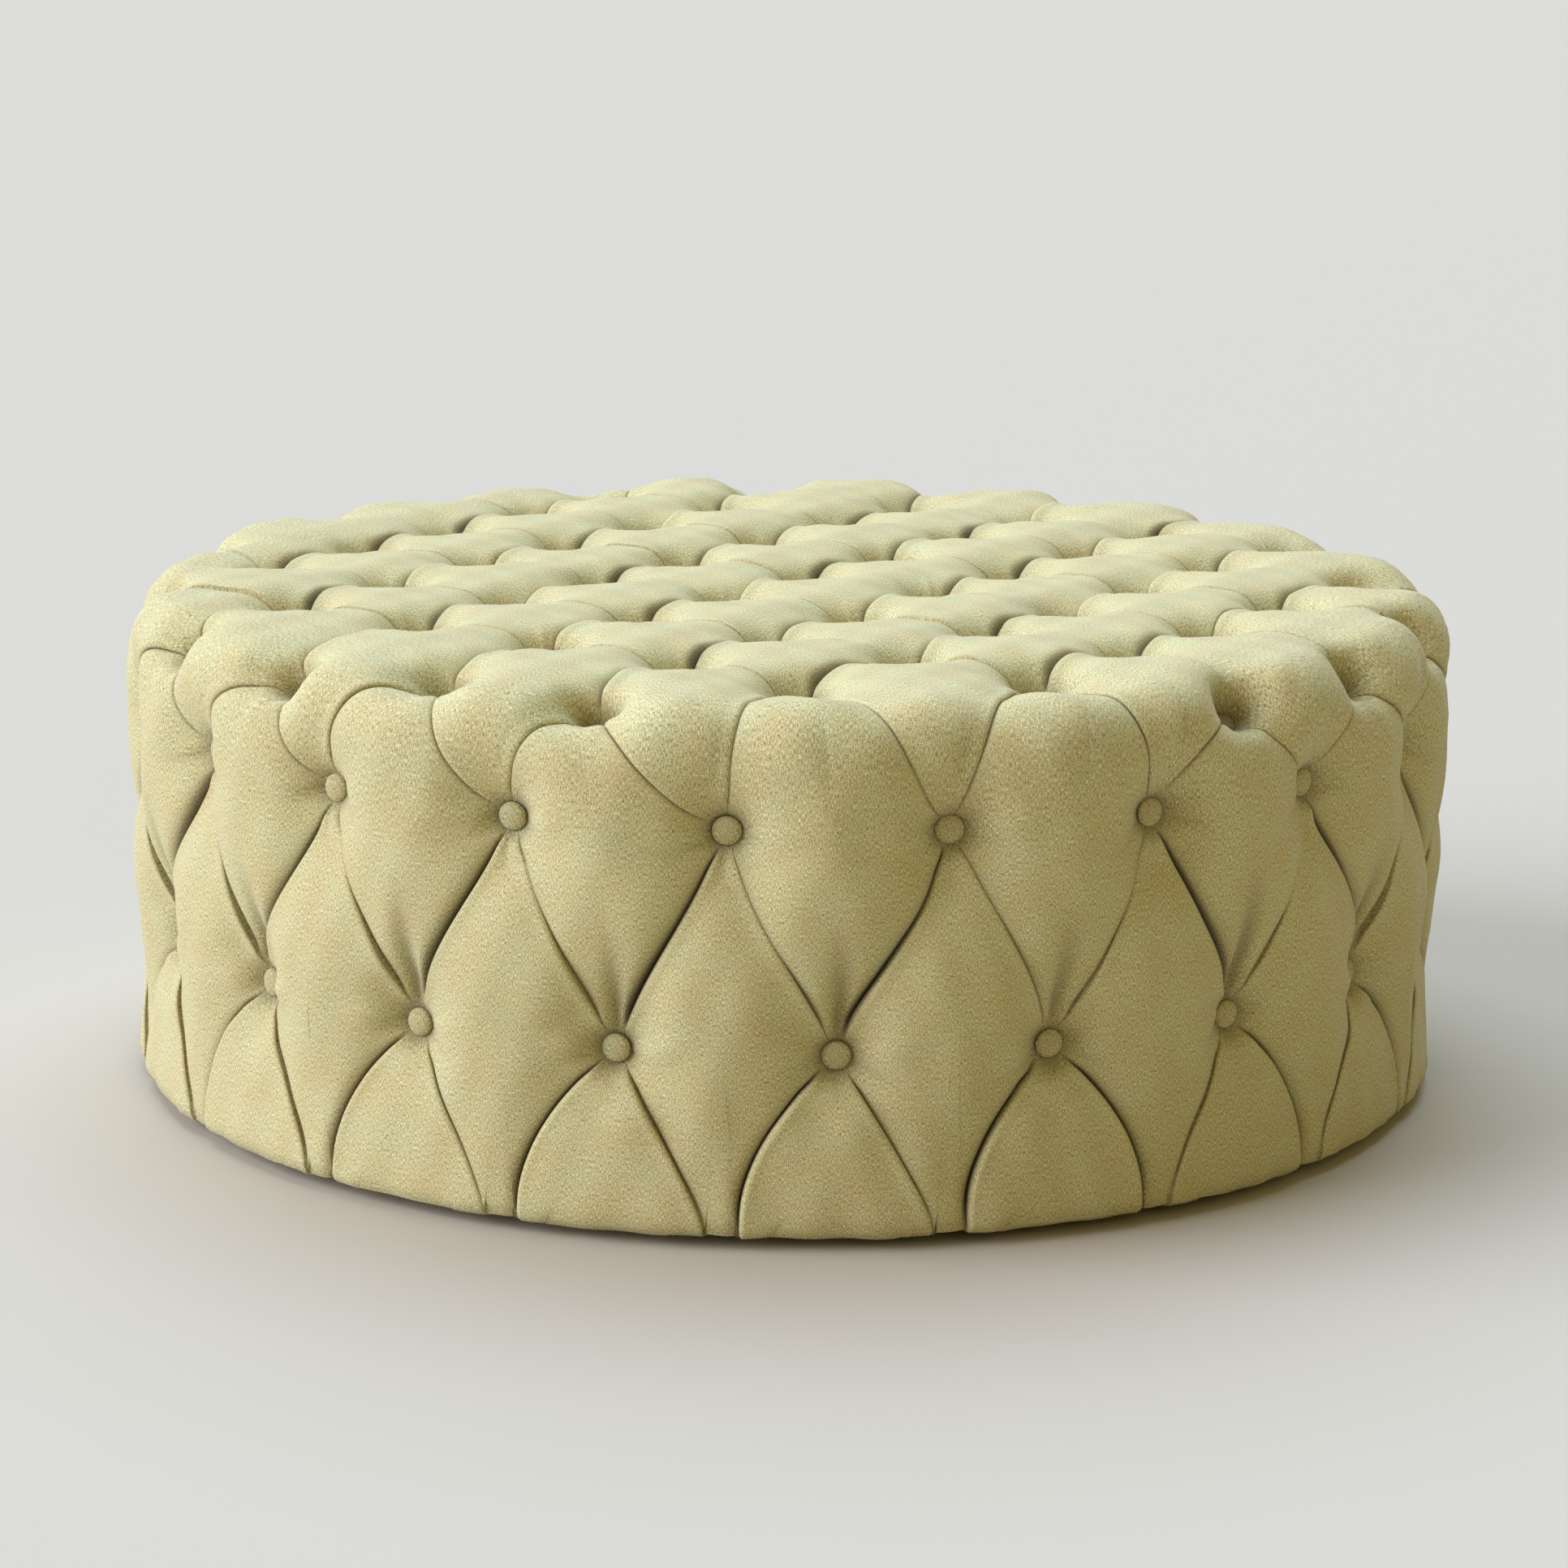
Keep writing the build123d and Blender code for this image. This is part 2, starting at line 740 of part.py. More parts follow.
save_group("deck_screws", deck_screw_solids(0))
save_group("base_screws", base_screw_solids(0))
save_group("cover_staples", staples(cover_staple_places()))
save_group("dust_cover_staples", staples(dust_staple_places()))
save_group("glides", glides())
save("dust_cover", make_dust_cover())
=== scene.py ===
import json
import math

import bpy
import numpy as np
from mathutils import Matrix, Vector

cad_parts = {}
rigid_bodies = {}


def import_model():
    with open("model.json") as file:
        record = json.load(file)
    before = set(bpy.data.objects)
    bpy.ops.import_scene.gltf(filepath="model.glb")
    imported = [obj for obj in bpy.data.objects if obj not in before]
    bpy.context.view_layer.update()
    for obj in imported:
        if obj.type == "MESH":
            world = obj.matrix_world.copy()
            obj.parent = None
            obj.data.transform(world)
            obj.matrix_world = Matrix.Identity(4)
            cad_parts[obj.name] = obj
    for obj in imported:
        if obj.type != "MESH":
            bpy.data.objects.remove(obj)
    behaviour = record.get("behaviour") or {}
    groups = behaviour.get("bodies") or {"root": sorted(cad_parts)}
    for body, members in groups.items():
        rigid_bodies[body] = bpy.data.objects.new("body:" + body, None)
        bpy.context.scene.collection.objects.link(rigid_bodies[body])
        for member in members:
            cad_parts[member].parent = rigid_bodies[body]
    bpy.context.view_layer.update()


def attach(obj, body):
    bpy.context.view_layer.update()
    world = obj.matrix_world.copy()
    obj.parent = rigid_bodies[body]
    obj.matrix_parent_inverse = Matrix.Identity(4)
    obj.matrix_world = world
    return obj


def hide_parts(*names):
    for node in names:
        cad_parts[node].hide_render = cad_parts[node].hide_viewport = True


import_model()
view = bpy.context.scene.view_settings
view.view_transform = "Standard"

# Base ring and deck board
# Birch plywood, 18 mm for the ring and 15 mm for the deck, routed to a circle; the deck is drilled for the twine.
# The faces show broad flowing grain, and the sawn edges the glued plies, light and dark in turn.
def colour(red, green, blue):
    """Linear colour from the 0 to 255 values that a screen shows."""
    c = np.array([red, green, blue]) / 255
    c = np.where(c <= 0.04045, c / 12.92, ((c + 0.055) / 1.055) ** 2.4)
    return (*c.tolist(), 1.0)


def group_node(tree, group):
    node = tree.nodes.new("ShaderNodeGroup")
    node.node_tree = group
    return node


def math_node(tree, operation, *values):
    node = tree.nodes.new("ShaderNodeMath")
    node.operation = operation
    for n, value in enumerate(values):
        if isinstance(value, (int, float)):
            node.inputs[n].default_value = value
        else:
            tree.links.new(value, node.inputs[n])
    return node.outputs[0]


def noise_node(tree, vector, scale, detail=3, roughness=0.55):
    node = tree.nodes.new("ShaderNodeTexNoise")
    for socket, value in (("Scale", scale), ("Detail", detail), ("Roughness", roughness)):
        node.inputs[socket].default_value = value
    tree.links.new(vector, node.inputs["Vector"])
    return node.outputs[0]


def ramp_node(tree, factor, *stops):
    node = tree.nodes.new("ShaderNodeValToRGB")
    ramp = node.color_ramp
    while len(ramp.elements) < len(stops):
        ramp.elements.new(0.5)
    for element, (place, shown) in zip(ramp.elements, stops):
        element.position, element.color = place, shown
    tree.links.new(factor, node.inputs[0])
    return node.outputs[0]


def mix_node(tree, factor, first, second, blend="MIX"):
    node = tree.nodes.new("ShaderNodeMix")
    node.data_type, node.blend_type = "RGBA", blend
    for socket, value in (("Factor", factor), ("A", first), ("B", second)):
        if isinstance(value, (int, float, tuple)):
            node.inputs[socket].default_value = value
        else:
            tree.links.new(value, node.inputs[socket])
    return node.outputs["Result"]


def split_node(tree, vector):
    node = tree.nodes.new("ShaderNodeSeparateXYZ")
    tree.links.new(vector, node.inputs[0])
    return node.outputs


def stretch_node(tree, vector, stretch, turn=(0, 0, 0)):
    node = tree.nodes.new("ShaderNodeMapping")
    node.inputs["Rotation"].default_value = turn
    node.inputs["Scale"].default_value = stretch
    tree.links.new(vector, node.inputs["Vector"])
    return node.outputs[0]


def new_group(name, inputs, outputs, first="Place"):
    """Empty node group with a vector input, float inputs after it and float outputs, and its two end nodes."""
    tree = bpy.data.node_groups.new(name, "ShaderNodeTree")
    tree.interface.new_socket(first, in_out="INPUT", socket_type="NodeSocketVector")
    for socket in inputs:
        tree.interface.new_socket(socket, in_out="INPUT", socket_type="NodeSocketFloat")
    for socket in outputs:
        tree.interface.new_socket(socket, in_out="OUTPUT", socket_type="NodeSocketFloat")
    return tree, tree.nodes.new("NodeGroupInput"), tree.nodes.new("NodeGroupOutput")


# Grain: rings of early and late wood along the first axis, and fine pores drawn out the same way
grain, grain_in, grain_out = new_group("wood_grain", ["Rings"], ["Bands", "Pores"])
drawn = stretch_node(grain, grain_in.outputs["Place"], (0.05, 1, 1))
slow = noise_node(grain, drawn, 9, 2)
bands = math_node(grain, "SINE", math_node(grain, "MULTIPLY", slow, grain_in.outputs["Rings"]))
grain.links.new(math_node(grain, "MULTIPLY_ADD", bands, 0.5, 0.5), grain_out.inputs["Bands"])
grain.links.new(noise_node(grain, drawn, 900, 3, 0.6), grain_out.inputs["Pores"])

# Dust and scuffs of the workshop, the same on every bare surface
wear, wear_in, wear_out = new_group("workshop_wear", [], ["Dust", "Scuffs"])
wear.links.new(noise_node(wear, wear_in.outputs["Place"], 6, 5, 0.65), wear_out.inputs["Dust"])
fine = stretch_node(wear, wear_in.outputs["Place"], (1, 0.12, 1), (0.3, 0.2, 0.7))
wear.links.new(noise_node(wear, fine, 260, 4, 0.7), wear_out.inputs["Scuffs"])


def finish(name, roughness, specular=0.4, bump=0.2, depth=0.0004):
    """New material with its tree, shader, object place and a bump node for the surface's height."""
    made = bpy.data.materials.new(name)
    made.use_nodes = True
    tree = made.node_tree
    shader = tree.nodes["Principled BSDF"]
    shader.inputs["Roughness"].default_value = roughness
    shader.inputs["Specular IOR Level"].default_value = specular
    place = tree.nodes.new("ShaderNodeTexCoord").outputs["Object"]
    relief = tree.nodes.new("ShaderNodeBump")
    relief.inputs["Strength"].default_value = bump
    relief.inputs["Distance"].default_value = depth
    tree.links.new(relief.outputs[0], shader.inputs["Normal"])
    return made, tree, shader, place, relief.inputs["Height"]


def coat(tree, shader, height, shown, raised):
    """Links the finished colour and the height of the surface into a material."""
    tree.links.new(shown, shader.inputs["Base Color"])
    tree.links.new(raised, height)


def wear_of(tree, place):
    node = group_node(tree, wear)
    tree.links.new(place, node.inputs["Place"])
    return node


def dusted(tree, worn, shown, tone, first, last):
    """The colour multiplied by a tone where dust lies and left as it is elsewhere, with a blend between the two."""
    veil = ramp_node(tree, worn.outputs["Dust"], (first, tone), (last, (1, 1, 1, 1)))
    return mix_node(tree, 1.0, shown, veil, "MULTIPLY")


def scuffed(tree, worn, shader, clean, dull, full=0.7):
    """Roughness that goes from clean to dull as the scuffs thicken."""
    rough = ramp_node(tree, worn.outputs["Scuffs"], (0.3, (clean,) * 3 + (1,)), (full, (dull,) * 3 + (1,)))
    tree.links.new(rough, shader.inputs["Roughness"])


def dress(material, *nodes):
    """Gives CAD nodes that are shown as they are their own finish in place of the plain one."""
    for name in nodes:
        mesh = bpy.data.objects[name].data
        mesh.materials.clear()
        mesh.materials.append(material)


def timber(name, tones, turn, rings, roughness=0.62, plies=None):
    """Wood: bands and pores mixed over two tones, darker with dust; on plywood the sawn edges show the plies."""
    made, tree, shader, place, height = finish(name, roughness, 0.3, 0.25, 0.0003)
    node = group_node(tree, grain)
    tree.links.new(stretch_node(tree, place, (1, 1, 1), turn), node.inputs["Place"])
    node.inputs["Rings"].default_value = rings
    shown = ramp_node(tree, node.outputs["Bands"], (0.1, tones[0]), (0.9, tones[1]))
    pores = ramp_node(tree, node.outputs["Pores"], (0.35, (0.72, 0.66, 0.6, 1)), (0.6, (1, 1, 1, 1)))
    shown = mix_node(tree, 0.6, shown, pores, "MULTIPLY")
    if plies:
        first, thick = plies
        above = math_node(tree, "SUBTRACT", split_node(tree, place)[2], first)
        layer = math_node(tree, "FRACT", math_node(tree, "DIVIDE", above, 2 * thick))
        layers = ramp_node(tree, layer, (0.46, tones[2]), (0.54, tones[3]))
        facing = split_node(tree, tree.nodes.new("ShaderNodeNewGeometry").outputs["Normal"])
        flat = math_node(tree, "GREATER_THAN", math_node(tree, "ABSOLUTE", facing[2]), 0.7)
        shown = mix_node(tree, flat, layers, shown)
    shown = dusted(tree, wear_of(tree, place), shown, (0.84, 0.82, 0.78, 1), 0.3, 0.7)
    coat(tree, shader, height, shown, node.outputs["Pores"])
    return made


birch = (colour(222, 196, 152), colour(201, 168, 120), colour(214, 188, 146), colour(150, 112, 74))
dress(timber("ring_plywood", birch, (0, 0, 0.4), 60, plies=(0.011, 0.0018)), "base_ring")
dress(timber("deck_plywood", birch, (0, 0, 1.2), 60, plies=(0.3567, 0.0015)), "deck_board")

# Rails, post, bearer, joists and uprights
# Planed pine, cut square and screwed together. The grain follows each length, pale early wood with amber late wood.
pine = (colour(232, 206, 158), colour(205, 162, 104))
long_turn = math.atan2(0.178, 0.122)
lengths = {
    "base_rail_long": (0, 0, -long_turn), "base_rail_front": (0, 0, math.pi / 2 - long_turn),
    "base_rail_back": (0, 0, math.pi / 2 - long_turn), "deck_bearer": (0, 0, 0.62),
    "deck_joist": (0, 0, 1.0), "centre_post": (0, math.pi / 2, 0), "upright": (0, math.pi / 2, 0),
}
for part, turn in lengths.items():
    wood = timber(f"{part}_pine", pine, turn, 85, 0.58)
    dress(wood, *[thing.name for thing in bpy.data.objects if thing.name.startswith(part)])

# Side wall
# Two lengths of 4 mm hardboard bent round the uprights: a smooth pressed face, brown, flecked with darker fibre.
made, tree, shader, place, height = finish("wall_hardboard", 0.5, 0.45, 0.15, 0.0002)
flecks = noise_node(tree, place, 420, 5, 0.7)
shown = ramp_node(tree, flecks, (0.32, colour(92, 62, 38)), (0.52, colour(138, 101, 66)),
                  (0.72, colour(160, 122, 84)))
worn = wear_of(tree, place)
shown = dusted(tree, worn, shown, (0.82, 0.8, 0.78, 1), 0.35, 0.65)
scuffed(tree, worn, shader, 0.42, 0.62)
coat(tree, shader, height, shown, flecks)
dress(made, "side_wall_front", "side_wall_back")

# Screws, staples, button backs and washers
# Zinc-plated steel, drawn or pressed: bluish grey, brushed by the tools, duller where hands and dust have been.
made, tree, shader, place, height = finish("zinc_plate", 0.35, 0.5, 0.1, 0.0001)
shader.inputs["Metallic"].default_value = 1.0
worn = wear_of(tree, place)
shown = ramp_node(tree, worn.outputs["Dust"], (0.3, colour(176, 178, 178)), (0.7, colour(208, 211, 214)))
scuffed(tree, worn, shader, 0.26, 0.5, 0.75)
coat(tree, shader, height, shown, worn.outputs["Scuffs"])
dress(made, "deck_screws", "base_screws", "cover_staples", "dust_cover_staples", "twine_washers_deck",
      "twine_washers_wall", "button_backs_top", "button_backs_rim", "button_backs_side_upper",
      "button_backs_side_lower")

# Foam and wadding
# Cream polyurethane foam, cut with a hot wire so its cells stand open, under a white fibre wadding with a loose nap.
made, tree, shader, place, height = finish("foam_cells", 0.92, 0.1, 0.6, 0.0008)
cells = tree.nodes.new("ShaderNodeTexVoronoi")
cells.inputs["Scale"].default_value = 700
tree.links.new(place, cells.inputs["Vector"])
shown = ramp_node(tree, cells.outputs["Distance"], (0.15, colour(214, 196, 146)), (0.6, colour(243, 232, 196)))
shown = dusted(tree, wear_of(tree, place), shown, (0.94, 0.88, 0.74, 1), 0.35, 0.65)
coat(tree, shader, height, shown, cells.outputs["Distance"])
dress(made, "top_foam", "side_foam")
made, tree, shader, place, height = finish("wadding_fibre", 0.95, 0.1, 0.5, 0.0012)
shader.inputs["Sheen Weight"].default_value = 0.4
hairs = noise_node(tree, stretch_node(tree, place, (1, 0.25, 1), (0.4, 0.3, 0.9)), 380, 5, 0.75)
shown = ramp_node(tree, hairs, (0.3, colour(214, 212, 205)), (0.65, colour(246, 246, 242)))
coat(tree, shader, height, shown, hairs)
dress(made, "fibre_wadding")

# Tufted cover
# Linen-weave upholstery cloth over fibre wadding. Buttons draw it in to a square lattice of tufts on the top, a rim
# ring and two side rings; the spare cloth between them is laid in pleats, and the hem is turned under and stapled.
pitch = math.radians(18)
first_turn = math.radians(-4.85)
button_count = 20
tuft_top, tuft_ring, tuft_edge = 0.411, 0.574, 0.040
crown_top, crown_ring, crown_edge = 0.4590, 0.6205, 0.056
foot_ring, foot_round, hem_level, flange_ring = 0.606, 0.011, 0.0095, 0.513
side_run = tuft_top - tuft_edge - hem_level - foot_round
foot_run = tuft_ring - tuft_edge + tuft_edge * math.pi / 2 + side_run
under_run = foot_run + foot_round * math.pi / 2
hem_run = under_run + tuft_ring - foot_round - flange_ring
edge_samples = 34
row_shares = np.array([0, .008, .016, .026, .040, .058, .082, .115, .155, .20,
                       .25, .31, .38, .46, .55, .65, .76, .88])
draw_length = 0.20
part_start, part_length = 0.47, 0.17
upper_run, lower_run = 0.62083, 0.80783
button_edge = 0.0115
luck = np.random.default_rng(11)


def ease(x):
    """Nought below nought, one above one, and 3 x squared less 2 x cubed between."""
    x = np.clip(x, 0, 1)
    return x * x * (3 - 2 * x)


def drum_outline(run, top, ring, edge, foot):
    """Radius, level and outward direction at a run along a drum's outline: the flat top, a quarter round of the
    edge radius, the side that draws in to the foot, a small quarter round, and the flange back to the middle."""
    flat = ring - edge
    side = top - edge - hem_level - foot_round
    lean = np.clip((run - flat) / edge, 0, math.pi / 2)
    fall = np.clip(run - flat - edge * math.pi / 2, 0, side)
    below = np.maximum(run - flat - edge * math.pi / 2 - side, 0)
    tuck = np.clip(below / foot_round, 0, math.pi / 2)
    inset = np.maximum(below - foot_round * math.pi / 2, 0)
    draw = (ring - foot) * ease((fall - side + draw_length) / draw_length)
    radius = np.minimum(run, flat) + edge * np.sin(lean) - draw - foot_round * (1 - np.cos(tuck)) - inset
    level = top - edge * (1 - np.cos(lean)) - fall - foot_round * np.sin(tuck)
    return radius, level, np.sin(lean) * np.cos(tuck), np.cos(lean) - np.sin(tuck)


def crown_run(run):
    """Run on the crowns' outline for a run on the tufts': level with it on the side, the same on the top."""
    quarter = math.pi / 2 - 1
    shift = crown_ring - tuft_ring + (crown_edge - tuft_edge) * quarter
    shift += (crown_top - crown_edge) - (tuft_top - tuft_edge)
    more = (foot_ring - flange_ring - foot_round) / (tuft_ring - flange_ring - foot_round) - 1
    return run + shift * ease((run - part_start) / part_length) + more * np.maximum(run - under_run, 0)


def skin(place, share):
    """Point and outward direction at a place of the unrolled skin: a mean, weighted by the share, of the tufts' drum
    at nought and the crowns' drum at one."""
    run = np.hypot(place[..., 0], place[..., 1])
    way = place / np.maximum(run, 1e-9)[..., None]
    low_r, low_z, n_r, n_z = drum_outline(run, tuft_top, tuft_ring, tuft_edge, tuft_ring)
    high_r, high_z, m_r, m_z = drum_outline(crown_run(run), crown_top, crown_ring, crown_edge, foot_ring)
    radius = low_r + (high_r - low_r) * share
    level = low_z + (high_z - low_z) * share
    out = np.stack([way[..., 0] * (n_r + m_r), way[..., 1] * (n_r + m_r), n_z + m_z], -1)
    out /= np.linalg.norm(out, axis=-1)[..., None]
    return np.stack([way[..., 0] * radius, way[..., 1] * radius, level], -1), out


def spot(run, turn):
    """Place on the unrolled skin at a run from the middle and a turn from the front."""
    return np.stack([run * np.sin(turn), -run * np.cos(turn)], -1)


def turns_between(a, b):
    """Turns of two places from the front, the second brought within half a turn of the first."""
    turn_a, turn_b = math.atan2(a[0], -a[1]), math.atan2(b[0], -b[1])
    return turn_a, turn_a + (turn_b - turn_a + math.pi) % (2 * math.pi) - math.pi


# Tuft places on the unrolled skin, named by kind and count; the lattice's start and steps are shares of the drum
drum = 0.615
lattice_start, lattice_step = np.array([-0.213, -0.320]), np.array([0.122, 0.178])
row_step = np.array([0.190, -0.129])
tufts = {}
for k, (first, last) in {-3: (0, 3), -2: (-1, 4), -1: (-1, 5), 0: (-1, 5), 1: (-1, 5), 2: (0, 4), 3: (1, 3)}.items():
    for i in range(first, last + 1):
        tufts["top", i, k] = drum * (lattice_start + lattice_step * i + row_step * k)
rim_places = [(-1, 2), (0, 3), (1, 4), (2, 4), (3, 4), (4, 3), (5, 2), (6, 1), (6, 0), (6, -1),
              (5, -2), (4, -3), (3, -4), (2, -4), (1, -4), (-1, -3), (-2, -2), (-2, -1), (-2, 0), (-2, 1)]
rim_radii = [0.745, 0.76, 0.905, 0.905, 0.905, 0.85, 0.84, 0.905, 0.90, 0.905,
             0.835, 0.835, 0.905, 0.90, 0.905, 0.905, 0.905, 0.895, 0.845, 0.87]
rim_turns = [-0.17, 0.24, 0.02, -0.05, -0.04, -0.09, 0.0, 0.02, -0.04, -0.12,
             -0.04, -0.04, 0.0, -0.11, -0.04, 0.08, 0.10, 0.13, -0.05, -0.16]
rim_inner = [[(-1, 1)], [(0, 2)], [(1, 3)], [(1, 3), (2, 3)], [(2, 3), (3, 3)],
             [(3, 3)], [(4, 2)], [(5, 1)], [(5, 1), (5, 0)], [(5, 0), (5, -1)],
             [(5, -1)], [(4, -2)], [(3, -3)], [(3, -3), (2, -3)], [(2, -3), (1, -3), (0, -3)],
             [(0, -3)], [(-1, -2)], [(-1, -2), (-1, -1)], [(-1, -1), (-1, 0)], [(-1, 0), (-1, 1)]]
hem_half = 0.015 / foot_ring
for n in range(button_count):
    turn = first_turn + pitch * n
    tufts["rim", n] = spot(drum * rim_radii[n], turn + pitch * (0.5 + rim_turns[n]))
    tufts["upper", n] = spot(upper_run, turn)
    tufts["lower", n] = spot(lower_run, turn + pitch / 2)
    tufts["before", n] = spot(hem_run, turn - hem_half)
    tufts["after", n] = spot(hem_run, turn + hem_half)
lattice_names = {name: name for name in tufts if name[0] == "top"}
lattice_names.update({("top", *place): ("rim", n) for n, place in enumerate(rim_places)})


# Pillows, each the names of its corners in order
pillows = []
for _, i, k in list(lattice_names):
    around = [lattice_names.get(("top", *c)) for c in ((i, k), (i + 1, k), (i + 1, k + 1), (i, k + 1))]
    if all(around) and sum(name[0] == "rim" for name in around) <= 1:
        pillows.append(("top", around))
for n in range(button_count):
    after = (n + 1) % button_count
    chain = [("top", *place) for place in rim_inner[n]]
    pillows.append(("edge", [("rim", (n - 1) % button_count), *chain, ("rim", n), ("upper", n)]))
    pillows.append(("side", [("rim", n), ("upper", n), ("lower", n), ("upper", after)]))
    pillows.append(("low", [("upper", after), ("lower", n), ("before", after), ("after", after), ("lower", after)]))
    pillows.append(("foot", [("lower", n), ("after", n), ("before", after)]))


def pleat_facts(kinds, start, end):
    """What a pleat is like. In metres: bow, S-swing, half width, slit, lip, gap and width of its painted shadow. As
    shares:
    depth at its start and over its length, part of the valley that is broad, and darkness of its painted shade."""
    middle = (tufts[start] + tufts[end]) / 2
    turn = math.degrees(math.atan2(middle[0], -middle[1]))
    chance = luck.uniform(-1, 1, 4)
    if kinds == {"hem"}:
        return dict(bow=0, swing=0, first=0, depth=0, wide=0.02, broad=0, slit=0, lip=0, gap=0, tone=0, shadow=0.001)
    if kinds <= {"top", "rim"}:
        along = (tufts[end] - tufts[start]) / np.linalg.norm(tufts[end] - tufts[start])
        across = abs(along @ np.array([0.827, -0.562])) > 0.7
        if across:
            depth = 0.10 + 0.04 * chance[2]
            return dict(bow=0.004 * chance[0], swing=0.003 * chance[1], first=depth, depth=depth,
                        wide=0.030, broad=0.15, slit=0.0014, lip=0.0006, gap=0, tone=0.2, shadow=0.002)
        depth = 0.27 + 0.08 * chance[2]
        return dict(bow=0.013 + 0.004 * chance[0], swing=0.003 * chance[1], first=depth, depth=depth,
                    wide=0.026, broad=0.25, slit=0.011 + 0.007 * chance[3], lip=0.0046,
                    gap=0.0056 + 0.0060 * chance[3], tone=0.75 + 0.25 * chance[3], shadow=0.0026)
    if kinds == {"rim", "upper"}:
        return dict(bow=0.010 + 0.003 * chance[0], swing=0.003 * chance[1], first=0.44, depth=0.30 + 0.04 * chance[2],
                    wide=0.025, broad=0.3, slit=0.0030, lip=0.0019, gap=0, tone=0.40, shadow=0.0038)
    falls_left = math.atan2(*(tufts[end] * (1, -1))) < math.atan2(*(tufts[start] * (1, -1)))
    thick = falls_left == (turn < 22)
    depth = (0.52 if thick else 0.42) + 0.05 * chance[2]
    swing = 0.0045 + 0.0045 * chance[1] if thick and end[0] == "lower" else 0.001 + 0.002 * chance[1]
    return dict(bow=0.004 * chance[0], swing=swing, first=depth, depth=depth,
                wide=0.028, broad=0.50, slit=0.011 if thick else 0.0025,
                lip=0.0024 if thick else 0.0017, gap=0.0060 + 0.002 * chance[3] if thick else 0.0006,
                tone=1 if thick else 0.45, shadow=0.0062 if thick else 0.0042)


def pleat_line(start, end, facts, t):
    """Places from tuft to tuft: a straight run, plus a bow of 4 t (1 - t) and a swing of sin 2 pi t sideways; a pleat
    to the hem turns most of its way early and then drops straight, and goes on under the foot."""
    a, b = tufts[start], tufts[end]
    run_a, run_b = np.hypot(*a), np.hypot(*b)
    turn_a, turn_b = turns_between(a, b)
    if end[0] in ("before", "after") and start[0] == "lower":
        run = run_a + (run_b - run_a) * t
        way = np.clip((run - run_a) / (foot_run - run_a), 0, 1)
        return spot(run, turn_a + (turn_b - turn_a) * (1 - (1 - way) ** (2.0 if facts["tone"] > 0.9 else 1.15)))
    if {start[0], end[0]} <= {"before", "after"}:
        return spot(np.full_like(t, hem_run), turn_a + (turn_b - turn_a) * t)
    side = facts["bow"] * 4 * t * (1 - t) + facts["swing"] * np.sin(2 * math.pi * t)
    if {start[0], end[0]} == {"upper", "lower"}:
        side = side * math.copysign(1, turn_a - turn_b)
        return spot(run_a + (run_b - run_a) * t, turn_a + (turn_b - turn_a) * t + side / tuft_ring)
    way = b - a
    across = np.array([way[1], -way[0]]) / np.linalg.norm(way)
    return a + way * t[:, None] + across * side[:, None]


def dish(distance, wide):
    """Share of the full depth at a distance from a tuft: one under the button, and falling away round it."""
    return np.exp(-(np.maximum(distance - button_edge, 0) / wide) ** 1.25)


dish_wide = {"top": 0.024, "rim": 0.024, "upper": 0.040, "lower": 0.040, "before": 0.001, "after": 0.001}
tuft_points = {name: skin(place, 0.5)[0] for name, place in tufts.items()}
throats = {("rim", n): 1 + 8 * (0.93 - radius) ** 2 for n, radius in enumerate(rim_radii)}


def tuft_distance(places, name):
    """Distance from a tuft; round a rim tuft the way out over the edge counts for less, so its dish has a throat."""
    offset = places - tuft_points[name]
    total = (offset ** 2).sum(-1)
    if name in throats:
        outward = np.array([*(tufts[name] / np.linalg.norm(tufts[name])), 0])
        way = np.maximum(offset @ outward, 0)
        total = total - way ** 2 * (1 - 1 / throats[name] ** 2)
    return np.sqrt(np.maximum(total, 0))


tuft_seats = {name: skin(place, 0.0) for name, place in tufts.items()}
edge_t = np.linspace(0, 1, edge_samples + 1)
edge_t = 0.45 * edge_t + 0.55 * (1 - np.cos(math.pi * edge_t)) / 2


# Folds that gather at each tuft: direction from straight down the skin, length, height and half width
folds = {}
for name in tufts:
    kind = name[0]
    if kind == "lower":
        rows = [(180, 0.130, -0.0110, 0.0100), (163, 0.105, 0.0042, 0.0080), (197, 0.105, 0.0042, 0.0080)]
        rows += [(d, 0.060, 0.0042, 0.0052) for d in (-97, 94)] + [(d, 0.060, -0.0042, 0.0052) for d in (-70, 72)]
        rows += [(d, 0.045, 0.0022, 0.0050) for d in (-10, 12)]
    elif kind == "upper":
        rows = [(d, 0.060, 0.0034, 0.0055) for d in (-11, 10)] + [(0, 0.050, -0.0028, 0.0050)]
        rows += [(d, 0.065, 0.0044, 0.0054) for d in (-86, 93)] + [(d, 0.060, -0.0040, 0.0052) for d in (-66, 70)]
        rows += [(180 + d, 0.040, 0.0018, 0.0045) for d in (-14, 12)]
    elif kind == "rim":
        rows = [(d, 0.050, 0.0034, 0.0050) for d in (-62, -22, 18, 60)]
        rows += [(d, 0.040, 0.0026, 0.0045) for d in (110, 150, 200, 250)]
    elif kind == "top":
        rows = [(d, 0.048, 0.0046, 0.0042) for d in (0, 40, 85, 130, 175, 220, 262, 310)]
    else:
        rows = []
    tuft_folds = []
    for turn, length, height, wide in rows:
        chance = luck.uniform(-1, 1, 4)
        sway = 3 if 160 < turn < 200 else 8
        tuft_folds.append((math.radians(turn + sway * chance[0]), length * (1 + 0.2 * chance[1]),
                           height * (1 + 0.3 * chance[2]), wide * (1 + 0.2 * chance[3])))
    folds[name] = tuft_folds


